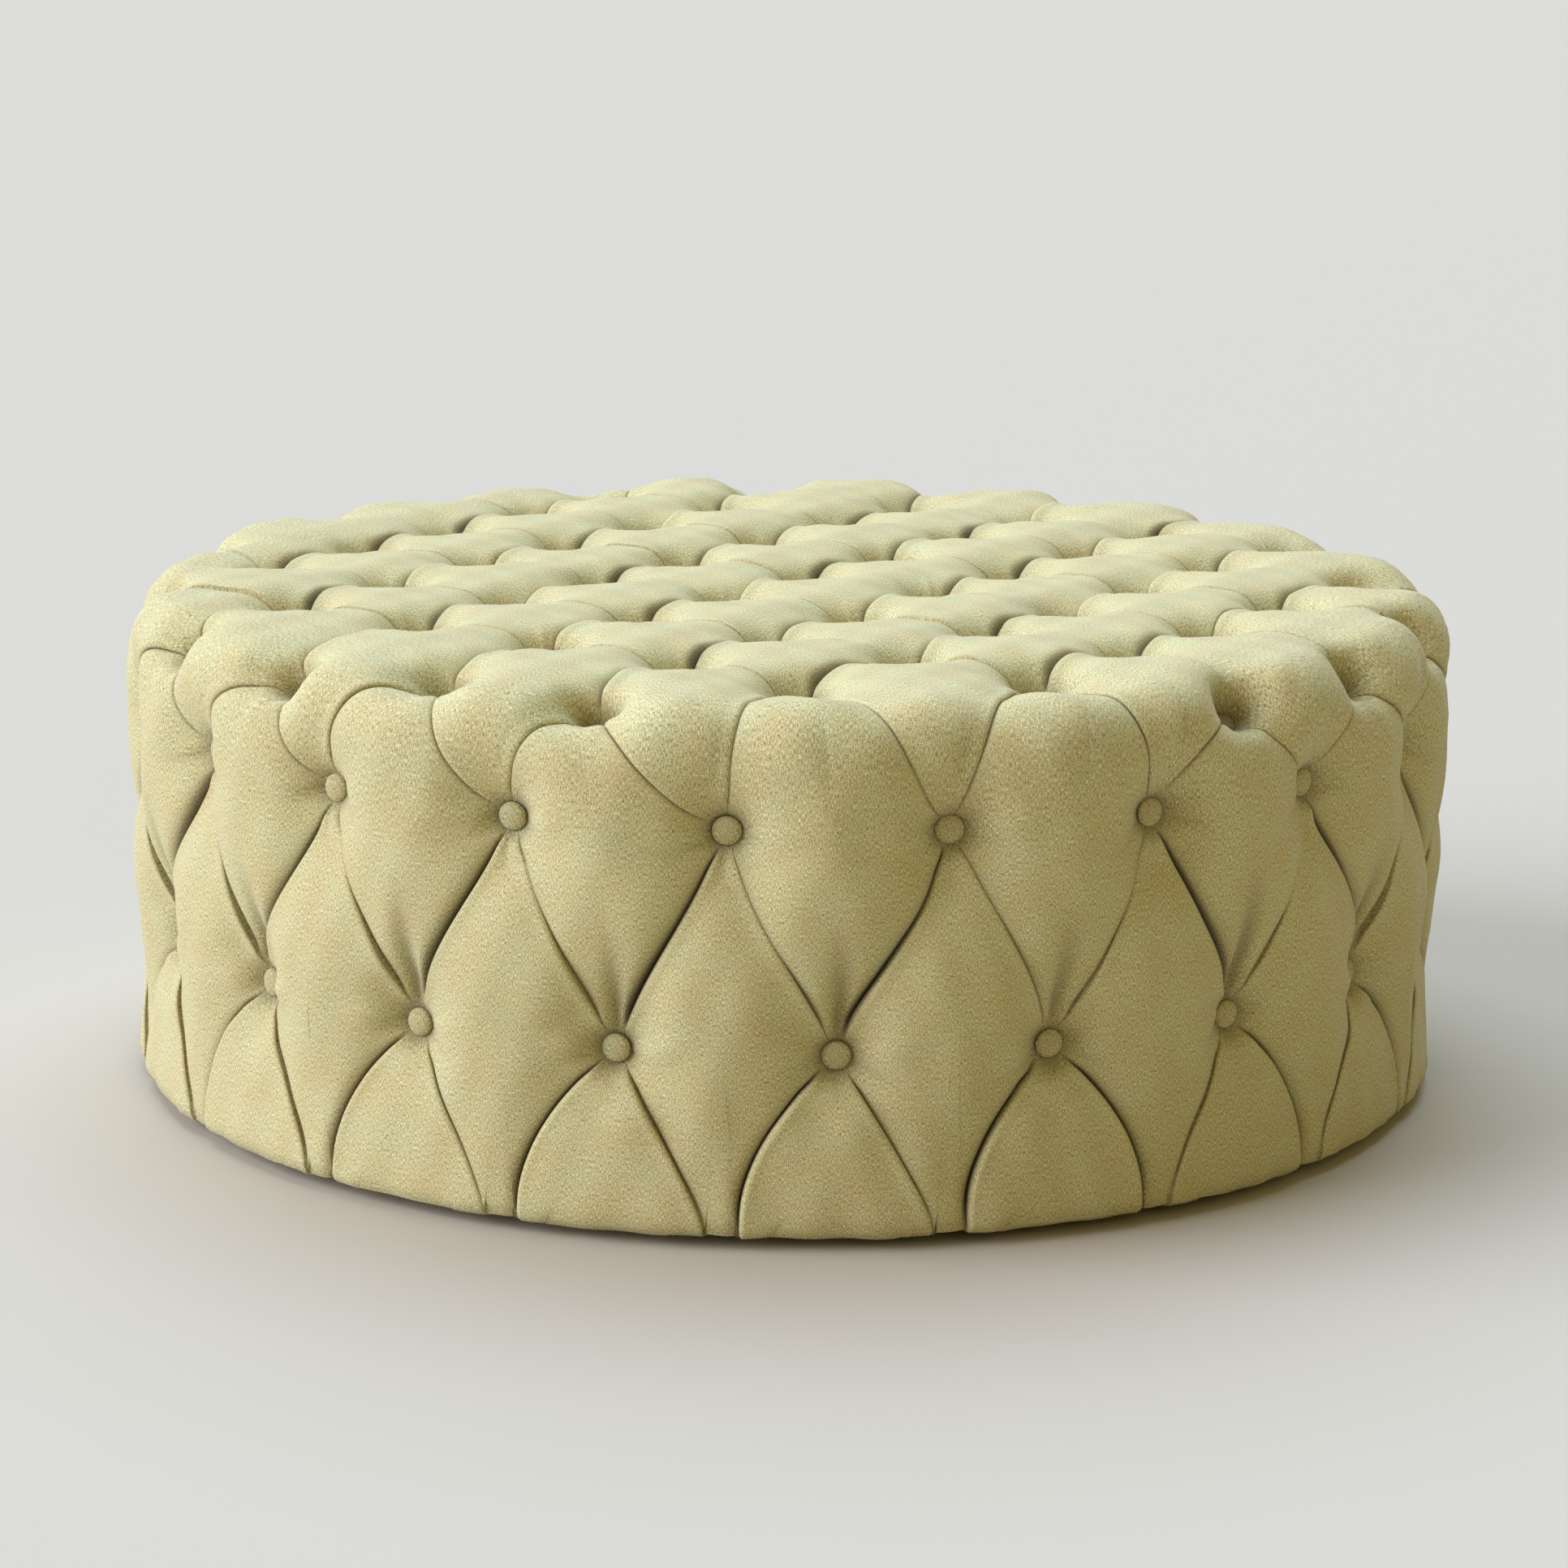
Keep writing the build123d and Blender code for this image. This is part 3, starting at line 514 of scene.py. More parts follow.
def gathers(points, name):
    """Height of a tuft's folds: across each a bell curve that widens outward, along it a rise and a slow fall."""
    seat, out = tuft_points[name], tuft_seats[name][1]
    down = np.array([0, 0, -1.0]) if out[2] < 0.5 else np.array([*(tufts[name] / np.linalg.norm(tufts[name])), 0])
    down = down - out * (down @ out)
    down /= np.linalg.norm(down)
    aside = np.cross(out, down)
    offset = points - seat
    x, y = offset @ aside, offset @ down
    total = np.zeros(len(points))
    for turn, length, height, wide in folds[name]:
        along = x * math.sin(turn) + y * math.cos(turn)
        off = x * math.cos(turn) - y * math.sin(turn)
        reach = np.clip(along / length, 0, 1)
        bell = np.exp(-(off / (wide * (0.55 + reach))) ** 2)
        total += height * bell * ease((along - 0.010) / 0.010) * (1 - reach) ** 1.3
    return total


lump_waves = [(luck.normal(0, 1, 3) * size, luck.uniform(0, 6.28)) for size in (28, 34, 47, 60, 85)]


def lumps(points):
    """Slight unevenness of the filling: a sum of slow sine waves."""
    total = np.zeros(points.shape[:-1])
    for wave, phase in lump_waves:
        total = total + np.sin(points @ wave + phase)
    return 0.00055 * total


def pleat_shape(t, length):
    """How much of the pleat's depth shows along it: nought under the buttons, full from a little way off."""
    near = np.minimum(t, 1 - t) * length
    return ease((near - 0.010) / 0.030)


def lies_over(facts, kind, centre):
    """Whether a pillow's cloth is the upper layer at a pleat: on the top the pillow to its front right, elsewhere the
    edge's, the low one and the foot's."""
    pair = facts["kinds"]
    if pair <= {"top", "rim"}:
        across = tufts[facts["end"]] - tufts[facts["start"]]
        outward = np.array([across[1], -across[0]]) / np.linalg.norm(across)
        return (centre - facts["line"][edge_samples // 2]) @ outward < 0
    if pair == {"rim", "upper"}:
        return kind == "edge"
    return kind == ("low" if pair == {"upper", "lower"} else "foot")


# One point in each tuft, shared by the pleats that meet there; it carries full painted shade, and the hem's points a
# little
points, shades, count = [], [], 0
corner_ids = {}
for name in tufts:
    at_hem = name[0] in ("before", "after")
    seat, out = skin(tufts[name], 0.9) if at_hem else tuft_seats[name]
    points.append((seat - out * (0 if at_hem else 0.0006))[None])
    shades.append([0.2 if at_hem else 1.0])
    corner_ids[name] = count
    count += 1

# The pleats, each drawn once as a row of points that the pillows on both sides share
flatness = {"top": 0.60, "edge": 0.50, "side": 0.32, "low": 0.32, "foot": 0.40}
pleats = {}
for kind, corners in pillows:
    for start, end in zip(corners, corners[1:] + corners[:1]):
        key = frozenset((start, end))
        if key in pleats:
            continue
        if start[0] in ("before", "after"):
            start, end = end, start
        kinds = {start[0], end[0]}
        if kinds <= {"before", "after"}:
            kinds = {"hem"}
        if (kinds, start[0]) in (({"rim", "upper"}, "upper"), ({"upper", "lower"}, "lower")):
            start, end = end, start
        facts = pleat_facts(kinds, start, end)
        if kinds <= {"top", "rim"}:
            # The bow of a pleat between two rows always swells towards the back left
            across = tufts[end] - tufts[start]
            if np.array([across[1], -across[0]]) @ row_step > 0:
                start, end = end, start
        line = pleat_line(start, end, facts, edge_t)
        middle_points, line_out = skin(line, 0.5)
        aside = np.cross(line_out, np.gradient(middle_points, axis=0))
        aside /= np.linalg.norm(aside, axis=1)[:, None]
        length = np.linalg.norm(np.diff(middle_points, axis=0), axis=1).sum()
        facts.update(start=start, end=end, line=line, points=middle_points, aside=aside, length=length,
                     hem=kinds == {"hem"}, kinds=kinds)
        body = pleat_shape(edge_t, length)
        far_a, far_b = tuft_distance(middle_points, start), tuft_distance(middle_points, end)
        run = np.hypot(line[:, 0], line[:, 1])
        fade = 1 - ease((run - foot_run + 0.03) / 0.045)
        facts["drop"] = (facts["first"] + (facts["depth"] - facts["first"]) * ease(edge_t / 0.6)) * body
        facts["drop"] = facts["drop"] * (1 - 0.85 * ease((run - foot_run + 0.085) / 0.10))
        depth = 1 - (1 - facts["drop"]) * (1 - dish(far_a, dish_wide[start[0]]))
        depth = 1 - (1 - depth) * (1 - dish(far_b, dish_wide[end[0]]))
        if kinds <= {"top", "rim"} and not facts["gap"]:
            # The line of a shallow valley lies as high as the pillows beside it
            depth = depth * (1 - flatness["top"] * ease((1 - depth) / 0.97))
        facts["body"] = body * (0.2 + 0.8 * fade)
        # A pleat of the top gapes towards the tuft at its front
        lean = edge_t if tufts[end][1] < tufts[start][1] else 1 - edge_t
        facts["opening"] = facts["gap"] * facts["body"] * (0.20 + 0.80 * ease(lean * 1.2 - 0.1))
        if facts["hem"]:
            depth = np.full_like(edge_t, 0.10)
            facts["body"] = np.zeros_like(edge_t)
        seat, out = skin(line, 1 - depth)
        seat = seat - out * (facts["slit"] * facts["body"])[:, None]
        inside = slice(1, edge_samples)
        points.append(seat[inside])
        # Painted shade along the pleat's line, by its tone and how much of the pleat shows there
        shades.append(facts["tone"] * (0.35 + 0.65 * facts["body"][inside]) * (not facts["hem"]))
        ids = np.arange(count, count + edge_samples - 1)
        count += edge_samples - 1
        facts["ids"] = np.concatenate([[corner_ids[start]], ids, [corner_ids[end]]])
        pleats[key] = facts


def nearest(places, path, values):
    """Distance from each place to a path of short straight runs, the way to it, and the values there."""
    a, b = path[:-1], path[1:]
    run = b - a
    share = np.einsum("nsd,sd->ns", places[:, None] - a[None], run) / np.maximum((run**2).sum(1), 1e-12)
    share = np.clip(share, 0, 1)
    foot = a[None] + run[None] * share[..., None]
    far = np.linalg.norm(places[:, None] - foot, axis=2)
    best = far.argmin(1)
    rows = np.arange(len(places))
    at = share[rows, best]
    picked = [v[best] * (1 - at) + v[best + 1] * at for v in values]
    return far[rows, best], foot[rows, best] - places, picked


# The pillows, each in rows of points that close in from its pleats to its middle
quads, triangles, quad_uv, triangle_uv = [], [], [], []
for kind, corners in pillows:
    sides, boundary, ids, tucks = [], [], [], []
    for start, end in zip(corners, corners[1:] + corners[:1]):
        facts = pleats[frozenset((start, end))]
        ahead = facts["start"] == start
        step = slice(None) if ahead else slice(None, None, -1)
        boundary.append(facts["line"][step][:-1])
        ids.append(facts["ids"][step][:-1])
        sides.append(facts)
        tucks.append((facts["body"] * (0.9 * facts["slit"] + 2.2 * facts["lip"] + facts["gap"]))[step][:-1])
    boundary, ids, tucks = np.concatenate(boundary), np.concatenate(ids), np.concatenate(tucks)
    inside = boundary[np.hypot(boundary[:, 0], boundary[:, 1]) < foot_run]
    centre = (inside.min(0) + inside.max(0)) / 2 * 0.4 + inside.mean(0) * 0.6
    area = 0.5 * np.sum(boundary[:, 0] * np.roll(boundary[:, 1], -1) - boundary[:, 1] * np.roll(boundary[:, 0], -1))
    if area < 0:
        boundary, ids, tucks = boundary[::-1], ids[::-1], tucks[::-1]
    places = boundary[None] + (centre - boundary)[None] * row_shares[1:, None, None]
    places = np.concatenate([places.reshape(-1, 2), centre[None]])
    middle = skin(places, 0.5)[0]
    run = np.hypot(places[:, 0], places[:, 1])
    fade = 1 - ease((run - foot_run) / 0.03)
    proud = 1 + 0.05 * luck.uniform(-1, 1)
    keep = np.full(len(places), 1.0)
    lift = np.zeros(len(places))
    slide = np.zeros((len(places), 3))
    shade = np.zeros(len(places))
    for facts in sides:
        far, toward, (body, drop, gap, *aim) = nearest(
            middle, facts["points"], [facts["body"], facts["drop"], facts["opening"], *facts["aside"].T])
        if facts["hem"]:
            keep *= 1 - 0.10 * np.exp(-far / 0.02)
            continue
        wide = facts["wide"]
        valley = (1 - facts["broad"]) * np.exp(-(far / wide) ** 1.3)
        valley += facts["broad"] * np.exp(-(far / (2.6 * wide)) ** 2)
        keep *= 1 - drop * valley
        lift -= facts["slit"] * body * np.exp(-(far / 0.0019) ** 2)
        dark = facts["tone"] * (0.35 + 0.65 * body)
        # The lap: this pillow's cloth rolls over the pleat, and the other's runs in under it
        if lies_over(facts, kind, centre):
            aim = np.stack(aim, -1)
            aim *= np.sign(np.sum(aim[-1] * toward[-1]))
            roll = facts["lip"] * body * (far / 0.0016) * np.exp(1 - far / 0.0016 * 0.9)
            roll = np.minimum(roll, far + facts["lip"] * body * 0.8)
            slide += aim * roll[:, None]
            lift += 0.40 * facts["lip"] * body * np.exp(-((far - 0.0038) / 0.0038) ** 2)
            # Painted shade on the lap's own side, a narrow band along the slit
            shade = np.maximum(shade, dark * np.exp(-(far / (0.0014 + 0.28 * gap)) ** 3))
        else:
            lift -= 1.5 * gap * np.exp(-(far / 0.0066) ** 2) * ease(far / 0.002)
            # Painted shade on the side that runs in under the lap: a dark core over the slit and gap, a softer fringe
            # beyond
            core = np.exp(-(far / (0.0030 + 0.95 * gap)) ** 4)
            soft = 0.45 * np.exp(-(far / (facts["shadow"] + 0.9 * gap)) ** 2)
            shade = np.maximum(shade, dark * np.maximum(core, soft))
    for name in corners:
        if name[0] in ("before", "after"):
            continue
        far = tuft_distance(middle, name)
        keep *= 1 - dish(far, dish_wide[name[0]])
        folded = gathers(middle, name) * ease((far - 0.011) / 0.012)
        lift += folded
        # Painted shade in the valleys of the gathers, and painted shade in the recess round the tuft
        shade = np.maximum(shade, np.clip(-folded / 0.0105, 0, 0.48))
        shade = np.maximum(shade, 0.8 * np.exp(-(np.maximum(far - 0.010, 0) / 0.009) ** 1.5))
    # A pillow's middle always stands out to the crowns' drum, however near its pleats are
    keep = 1 - (1 - keep) * (1 - flatness[kind] * ease(keep / keep[-1]))
    seat, out = skin(places, keep * (1 + (proud - 1) * fade))
    points.append(seat + out * ((lift + lumps(middle)) * (0.15 + 0.85 * fade))[:, None] + slide)
    shades.append(shade * (0.3 + 0.7 * fade))
    around = len(ids)
    own = count + np.arange(len(places))
    grid = np.concatenate([ids[None], own[:-1].reshape(-1, around)])
    nxt = np.roll(grid, -1, axis=1)
    quads.append(np.stack([grid[:-1], nxt[:-1], nxt[1:], grid[1:]], -1).reshape(-1, 4))
    triangles.append(np.stack([grid[-1], nxt[-1], np.full(around, own[-1])], -1))
    count += len(places)
    # The cloth map runs on into the pleats, where the spare cloth is tucked away
    spokes = boundary - centre
    span = np.linalg.norm(spokes, axis=1)
    tucked = tucks * np.exp(-row_shares[:, None] * span / 0.004)
    every = np.concatenate([boundary[None], places[:-1].reshape(-1, around, 2)])
    every = every + (spokes / span[:, None])[None] * tucked[..., None]
    every = np.concatenate([every.reshape(-1, 2), centre[None]])
    if kind == "top":
        flat = every
    else:
        turn = np.arctan2(every[:, 0], -every[:, 1])
        middle_turn = math.atan2(centre[0], -centre[1])
        turn = middle_turn + (turn - middle_turn + math.pi) % (2 * math.pi) - math.pi
        flat = np.stack([turn * tuft_ring, -np.hypot(every[:, 0], every[:, 1])], -1)
    local = np.arange(len(flat) - 1).reshape(-1, around)
    ahead = np.roll(local, -1, axis=1)
    quad_uv.append(flat[np.stack([local[:-1], ahead[:-1], ahead[1:], local[1:]], -1).reshape(-1, 4)])
    triangle_uv.append(flat[np.stack([local[-1], ahead[-1], np.full(around, len(flat) - 1)], -1)])


def surface(name, places, faces, maps=(), threes=(), three_maps=()):
    """Mesh object from points, lists of four-cornered and three-cornered faces, and a map place for each corner."""
    mesh = bpy.data.meshes.new(name)
    fours = np.concatenate(faces)
    threes = np.concatenate([np.zeros((0, 3), int), *threes])
    loops = np.concatenate([fours.ravel(), threes.ravel()])
    starts = np.concatenate([np.arange(len(fours)) * 4, len(fours) * 4 + np.arange(len(threes)) * 3])
    mesh.vertices.add(len(places))
    mesh.vertices.foreach_set("co", np.ascontiguousarray(places, dtype=np.float32).ravel())
    mesh.loops.add(len(loops))
    mesh.loops.foreach_set("vertex_index", loops.astype(np.int32))
    mesh.polygons.add(len(starts))
    mesh.polygons.foreach_set("loop_start", starts.astype(np.int32))
    mesh.update(calc_edges=True)
    mesh.validate()
    if maps:
        flat = np.concatenate([part.reshape(-1, 2) for part in (*maps, *three_maps)])
        mesh.uv_layers.new(name="cloth").data.foreach_set("uv", flat.astype(np.float32).ravel())
    mesh.shade_smooth()
    thing = bpy.data.objects.new(name, mesh)
    bpy.context.scene.collection.objects.link(thing)
    return thing


cover = surface("linen_cover", np.concatenate(points), quads, quad_uv, triangles, triangle_uv)
# Painted shade for each point of the cover, darkest in the pleats' slits, the tufts and the gathers' valleys
layer = cover.data.attributes.new("fold_shade", "FLOAT", "POINT")
layer.data.foreach_set("value", np.concatenate([np.asarray(s, float) for s in shades]).astype(np.float32))


# Plain weave in metres of the cloth map: height from crossed threads, and streaks of lighter and darker yarn
weave, weave_in, weave_out = new_group("linen_weave", ["Threads per metre", "Streak"],
                                       ["Height", "Heather", "Blotch"], "Map")
cloth = weave_in.outputs["Map"]
apart = split_node(weave, cloth)
drift = math_node(weave, "SUBTRACT", noise_node(weave, cloth, 120, 2, 0.5), 0.5)
drift = math_node(weave, "MULTIPLY", drift, 3.0)
waves = []
for axis in (0, 1):
    turn = math_node(weave, "MULTIPLY", apart[axis], weave_in.outputs["Threads per metre"])
    turn = math_node(weave, "ADD", math_node(weave, "MULTIPLY", turn, math.pi), drift)
    waves.append(math_node(weave, "SINE", turn))
streaks = []
for stretch, strength in (((1.0, 0.26, 1.0), weave_in.outputs["Streak"]), ((0.33, 1.0, 1.0), 0.62)):
    scale = weave.nodes.new("ShaderNodeVectorMath")
    scale.operation = "MULTIPLY"
    weave.links.new(cloth, scale.inputs[0])
    scale.inputs[1].default_value = stretch
    streak = math_node(weave, "SUBTRACT", noise_node(weave, scale.outputs[0], 1500, 3, 0.65), 0.5)
    streaks.append(math_node(weave, "MULTIPLY", streak, strength))
heather = math_node(weave, "ADD", math_node(weave, "ADD", *streaks), 0.5)
weave.links.new(heather, weave_out.inputs["Heather"])
cross = math_node(weave, "MULTIPLY", math_node(weave, "MULTIPLY", *waves), 0.5)
height = math_node(weave, "ADD", cross, math_node(weave, "MULTIPLY", heather, 1.3))
weave.links.new(height, weave_out.inputs["Height"])
weave.links.new(noise_node(weave, cloth, 26, 4, 0.5), weave_out.inputs["Blotch"])


def linen(name, shade=None):
    """Sage linen: heathered light and dark yarn, with painted shade towards dark brown in the folds and tufts, or one
    even painted shade all over.
    """
    made, tree, shader, _, height = finish(name, 0.88, 0.25, 0.22, 0.0004)
    shader.inputs["Sheen Weight"].default_value = 0.12
    shader.inputs["Sheen Roughness"].default_value = 0.45
    cloth_map = tree.nodes.new("ShaderNodeUVMap")
    cloth_map.uv_map = "cloth"
    node = group_node(tree, weave)
    tree.links.new(cloth_map.outputs[0], node.inputs["Map"])
    node.inputs["Threads per metre"].default_value = 1250
    node.inputs["Streak"].default_value = 1.20
    yarn = ramp_node(tree, node.outputs["Heather"], (0.27, colour(126, 114, 68)), (0.5, colour(193, 184, 127)),
                     (0.73, colour(240, 230, 188)))
    patchy = ramp_node(tree, node.outputs["Blotch"], (0.3, (0.985, 0.905, 0.80, 1)), (0.7, (0.965, 1, 0.96, 1)))
    shown = mix_node(tree, 1.0, yarn, patchy, "MULTIPLY")
    # Painted shade: the fold_shade attribute scaled by 0.84, or the given even shade, mixes the yarn towards a dark
    # brown
    if shade is None:
        fold = tree.nodes.new("ShaderNodeAttribute")
        fold.attribute_name = "fold_shade"
        shade = math_node(tree, "MULTIPLY", fold.outputs["Fac"], 0.84)
    coat(tree, shader, height, mix_node(tree, shade, shown, colour(50, 33, 12)), node.outputs["Height"])
    return made


cover.data.materials.append(linen("cover_linen"))
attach(cover, "root")
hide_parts("tufted_cover")

# Covered buttons
# Steel button shells, 24 mm across, with the cover's own linen drawn over the dome and tucked in behind the rim.
# The twine at the back pulls each one down into its tuft, so no two sit quite alike.
button_radius, button_crown, button_rim = 0.0121, 0.0070, 0.0024
button_turns, button_rings = 28, 9


def button_dome(places, name, node, cloth):
    """Each button: radius sin a and height cos a of a flattened dome over a rolled rim, tipped a little where it
    sits."""
    seats, outs = skin(np.array(places), 0.0)
    share = np.linspace(0, 1, button_rings)
    swept = math.pi / 2 * 0.93
    profile_r = np.concatenate([button_radius * np.sin(share[1:] * swept) / math.sin(swept),
                                [button_radius * 1.01, button_radius * 0.97, button_radius * 0.86]])
    profile_h = np.concatenate([button_rim + (button_crown - button_rim) * np.cos(share[1:] * math.pi / 2) ** 0.9,
                                [button_rim * 0.55, 0.0005, -0.0006]])
    turns = np.arange(button_turns) * 2 * math.pi / button_turns
    rings = len(profile_r)
    bodies, faces, tris, maps, tri_maps = [], [], [], [], []
    for n, (seat, out) in enumerate(zip(seats, outs)):
        chance = luck.uniform(-1, 1, 4)
        side = np.cross(out, [0.3, 0.2, 1.0] if abs(out[2]) < 0.9 else [1.0, 0.1, 0.0])
        side /= np.linalg.norm(side)
        tilt = out + side * 0.06 * chance[0] + np.cross(out, side) * 0.06 * chance[1]
        tilt /= np.linalg.norm(tilt)
        side = np.cross(tilt, np.cross(side, tilt))
        side /= np.linalg.norm(side)
        third = np.cross(tilt, side)
        ripple = 1 + 0.012 * np.sin(turns * 9 + 3 * chance[2])[None] * np.linspace(0, 1, rings)[:, None] ** 3
        radius = profile_r[:, None] * ripple
        x, y = radius * np.cos(turns), radius * np.sin(turns)
        lift = np.repeat(profile_h[:, None], button_turns, axis=1)
        body = seat + x[..., None] * side + y[..., None] * third + lift[..., None] * tilt
        body = np.concatenate([body.reshape(-1, 3), (seat + tilt * (button_crown + 0.0001))[None],
                               (seat - tilt * 0.0008)[None]])
        base = n * len(body)
        grid = np.arange(rings * button_turns).reshape(rings, -1)
        ahead = np.roll(grid, -1, axis=1)
        top, bottom = rings * button_turns, rings * button_turns + 1
        flat = np.stack([x, y], -1).reshape(-1, 2) + np.array([0.05 * n, 0.03 * n])
        flat = np.concatenate([flat, [[0.05 * n, 0.03 * n]] * 2])
        four = np.stack([grid[:-1], grid[1:], ahead[1:], ahead[:-1]], -1).reshape(-1, 4)
        three = np.concatenate([np.stack([np.full(button_turns, top), grid[0], ahead[0]], -1),
                                np.stack([np.full(button_turns, bottom), ahead[-1], grid[-1]], -1)])
        bodies.append(body)
        faces.append(four + base)
        tris.append(three + base)
        maps.append(flat[four])
        tri_maps.append(flat[three])
    piece = surface(name, np.concatenate(bodies), faces, maps, tris, tri_maps)
    piece.data.materials.append(cloth)
    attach(piece, "root")
    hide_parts(node)


# Painted shade on the buttons: copies of the linen with an even painted shade, slight on the side buttons and deep on
# the top and rim buttons, which sit low in their tufts
button_linen = linen("button_linen", 0.16)
deep_shade_linen = linen("sunk_button_linen", 0.62)
for kind in ("top", "rim", "upper", "lower"):
    places = [place for name, place in tufts.items() if name[0] == kind]
    node = f"button_caps_{'side_' if kind in ('upper', 'lower') else ''}{kind}"
    button_dome(places, f"covered_buttons_{kind}", node, button_linen if kind in ("upper", "lower") else deep_shade_linen)

# Tufting twine
# Waxed nylon cord, two plies twisted, from each button's shank through the foam and the drilled frame to a washer.
# It is pulled tight and knotted there, which draws the button down into the cover.
made, tree, shader, place, height = finish("waxed_twine", 0.5, 0.4, 0.5, 0.0003)
twist = tree.nodes.new("ShaderNodeTexWave")
twist.bands_direction = "DIAGONAL"
twist.inputs["Scale"].default_value = 420
twist.inputs["Distortion"].default_value = 0.6
tree.links.new(place, twist.inputs["Vector"])
shown = ramp_node(tree, twist.outputs["Fac"], (0.2, colour(176, 160, 122)), (0.8, colour(226, 216, 188)))
coat(tree, shader, height, shown, twist.outputs["Fac"])
dress(made, "tufting_twine_top", "tufting_twine_side")

# Dust cover
# Black non-woven cloth cut to a circle, pulled taut under the base ring and stapled every few centimetres near its
# edge, so it puckers between the staples and sags by a hair in the middle.
dust_radius, dust_level, staple_count = 0.530, 0.0085, 40


def taut_circle(radius, turn):
    """Sheet level: a sag of 1 less the squared share of the radius, and ripples of cos n a that grow to the edge."""
    share = radius / dust_radius
    sag = 0.0004 * (1 - share ** 2)
    ripple = 0.00028 * np.cos(staple_count * turn) * share ** 14
    return np.stack([radius * np.cos(turn), radius * np.sin(turn), dust_level - sag + ripple], -1)


sheet_turns = 8 * staple_count
rings = np.concatenate([np.linspace(0, 0.40, 9)[1:], np.linspace(0.42, dust_radius, 14)])
turns = np.arange(sheet_turns) * 2 * math.pi / sheet_turns
radius_grid, turn_grid = np.meshgrid(rings, turns, indexing="ij")
sheet_points = np.concatenate([taut_circle(radius_grid, turn_grid).reshape(-1, 3),
                               taut_circle(np.zeros(1), np.zeros(1))])
ring_ids = np.arange(rings.size * turns.size).reshape(rings.size, -1)
next_ids = np.roll(ring_ids, -1, axis=1)
sheet_quads = np.stack([ring_ids[:-1], next_ids[:-1], next_ids[1:], ring_ids[1:]], -1).reshape(-1, 4)
sheet_threes = np.stack([ring_ids[0], np.full(turns.size, ring_ids.size), next_ids[0]], -1)
sheet_map = sheet_points[:, :2]
dust_sheet = surface("dust_sheet", sheet_points, [sheet_quads], [sheet_map[sheet_quads]],
                     [sheet_threes], [sheet_map[sheet_threes]])
made, tree, shader, place, height = finish("dust_cloth", 0.9, 0.2, 0.35, 0.0004)
fibres = noise_node(tree, stretch_node(tree, place, (1, 0.3, 1), (0, 0, 0.5)), 520, 4, 0.7)
dots = tree.nodes.new("ShaderNodeTexVoronoi")
dots.inputs["Scale"].default_value = 620
dots.inputs["Randomness"].default_value = 0.25
tree.links.new(place, dots.inputs["Vector"])
shown = ramp_node(tree, fibres, (0.3, colour(24, 24, 26)), (0.7, colour(52, 52, 55)))
dusty = ramp_node(tree, wear_of(tree, place).outputs["Dust"], (0.5, (0, 0, 0, 1)), (0.8, (0.35, 0.35, 0.35, 1)))
coat(tree, shader, height, mix_node(tree, dusty, shown, colour(92, 88, 82)), dots.outputs["Distance"])
dust_sheet.data.materials.append(made)
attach(dust_sheet, "root")
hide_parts("dust_cover")

# Glides
# Black nylon discs on the floor side of the base ring, moulded with a nail that is driven up through the dust cover.
# Their faces are scuffed dull by the floor.
made, tree, shader, place, height = finish("glide_nylon", 0.45, 0.5, 0.15, 0.0002)
worn = wear_of(tree, place)
shown = ramp_node(tree, worn.outputs["Dust"], (0.35, colour(30, 30, 31)), (0.75, colour(64, 62, 60)))
scuffed(tree, worn, shader, 0.38, 0.62)
coat(tree, shader, height, shown, worn.outputs["Scuffs"])
dress(made, "glides")

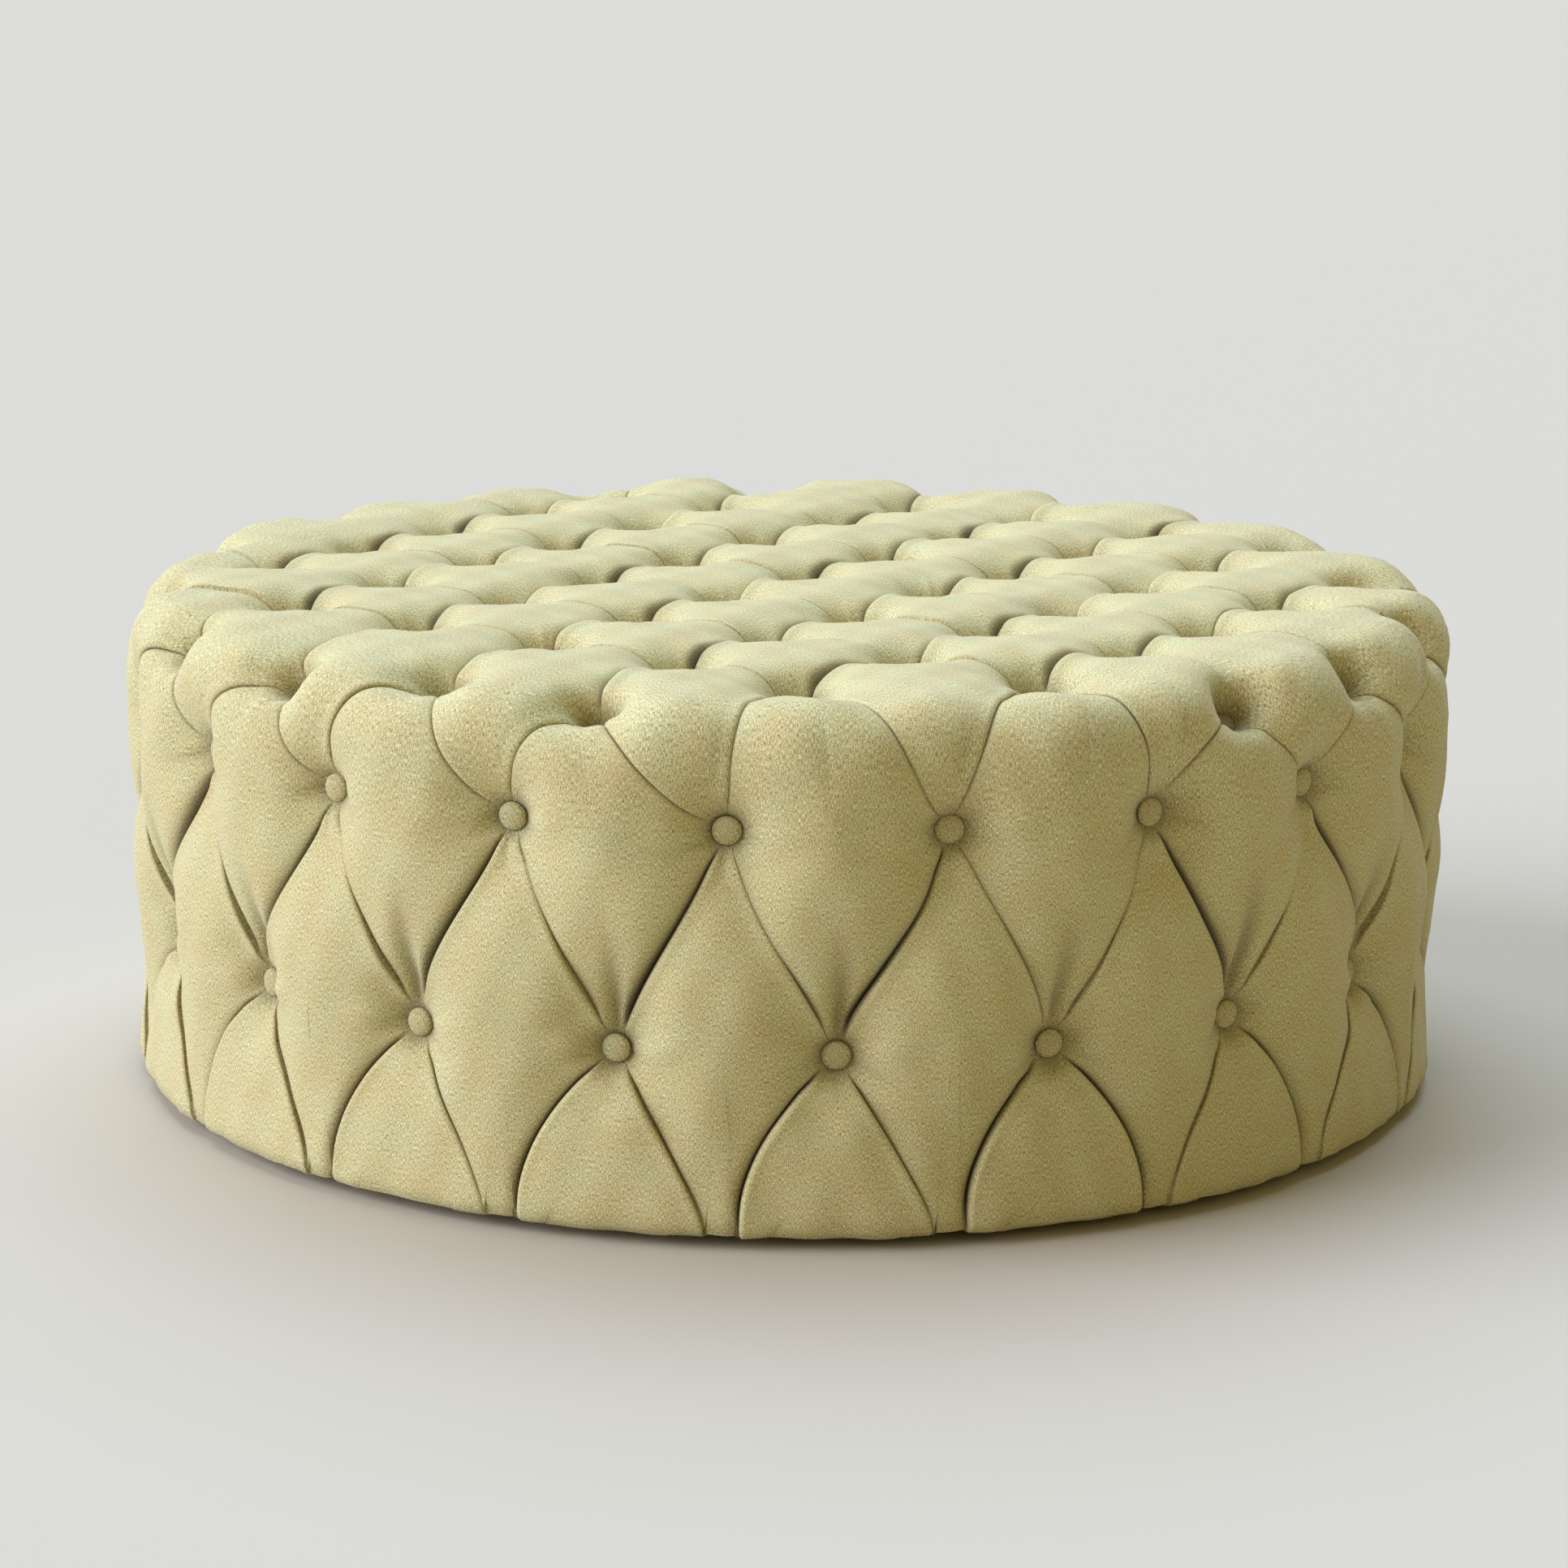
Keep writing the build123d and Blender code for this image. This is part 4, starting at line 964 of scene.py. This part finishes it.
# Camera
# Where the photograph was taken from: just under four metres in front, a little above the top, looking down.
eye = Vector((0, -3.991, 1.171))
down, aside, roll = math.radians(12.94), math.radians(-0.05), math.radians(0.59)
forward = Vector((math.sin(aside) * math.cos(down), math.cos(aside) * math.cos(down), -math.sin(down)))
right = forward.cross(Vector((0, 0, 1))).normalized()
up = right.cross(forward)
tipped_right = right * math.cos(roll) + up * math.sin(roll)
tipped_up = up * math.cos(roll) - right * math.sin(roll)
camera = bpy.data.objects.new("camera", bpy.data.cameras.new("camera"))
camera.data.lens = 100.3
camera.data.sensor_width = 36
camera.data.clip_end = 200
camera.matrix_world = Matrix((
    (tipped_right.x, tipped_up.x, -forward.x, eye.x),
    (tipped_right.y, tipped_up.y, -forward.y, eye.y),
    (tipped_right.z, tipped_up.z, -forward.z, eye.z),
    (0, 0, 0, 1),
))
bpy.context.scene.collection.objects.link(camera)
bpy.context.scene.camera = camera

# Floor and light
# A plain pale floor that keeps the shadow, a broad soft lamp from the left, one from above and behind, a weak one
# from the front right, and an even sky.
floor_half = 40.0
corner_signs = np.array([[-1, -1, 0], [1, -1, 0], [1, 1, 0], [-1, 1, 0]])
floor = surface("floor", corner_signs * floor_half, [np.array([[0, 1, 2, 3]])])
floor_paint = bpy.data.materials.new("floor_paint")
floor_paint.use_nodes = True
paint = floor_paint.node_tree.nodes["Principled BSDF"]
paint.inputs["Base Color"].default_value = colour(190, 181, 158)
paint.inputs["Roughness"].default_value = 0.9
floor.data.materials.append(floor_paint)
for name, energy, spread, tone, aim in (("window_light", 3.55, 48, (0.94, 1.01, 1.42), (0.90, 0.20, -0.42)),
                                        ("roof_light", 2.5, 60, (0.84, 1.08, 1.58), (0.05, -0.48, -0.87)),
                                        ("room_light", 0.22, 30, (1.0, 0.92, 0.62), (-0.35, 0.75, -0.55))):
    lamp = bpy.data.lights.new(name, "SUN")
    lamp.angle = math.radians(spread)
    lamp.energy = energy
    lamp.color = tone
    lamp_object = bpy.data.objects.new(name, lamp)
    lamp_object.rotation_euler = Vector(aim).to_track_quat("-Z", "Y").to_euler()
    bpy.context.scene.collection.objects.link(lamp_object)
world = bpy.data.worlds.new("sky")
bpy.context.scene.world = world
world.use_nodes = True
sky = world.node_tree
sky.nodes["Background"].inputs["Color"].default_value = (1.0, 0.82, 0.36, 1)
sky.nodes["Background"].inputs["Strength"].default_value = 0.28
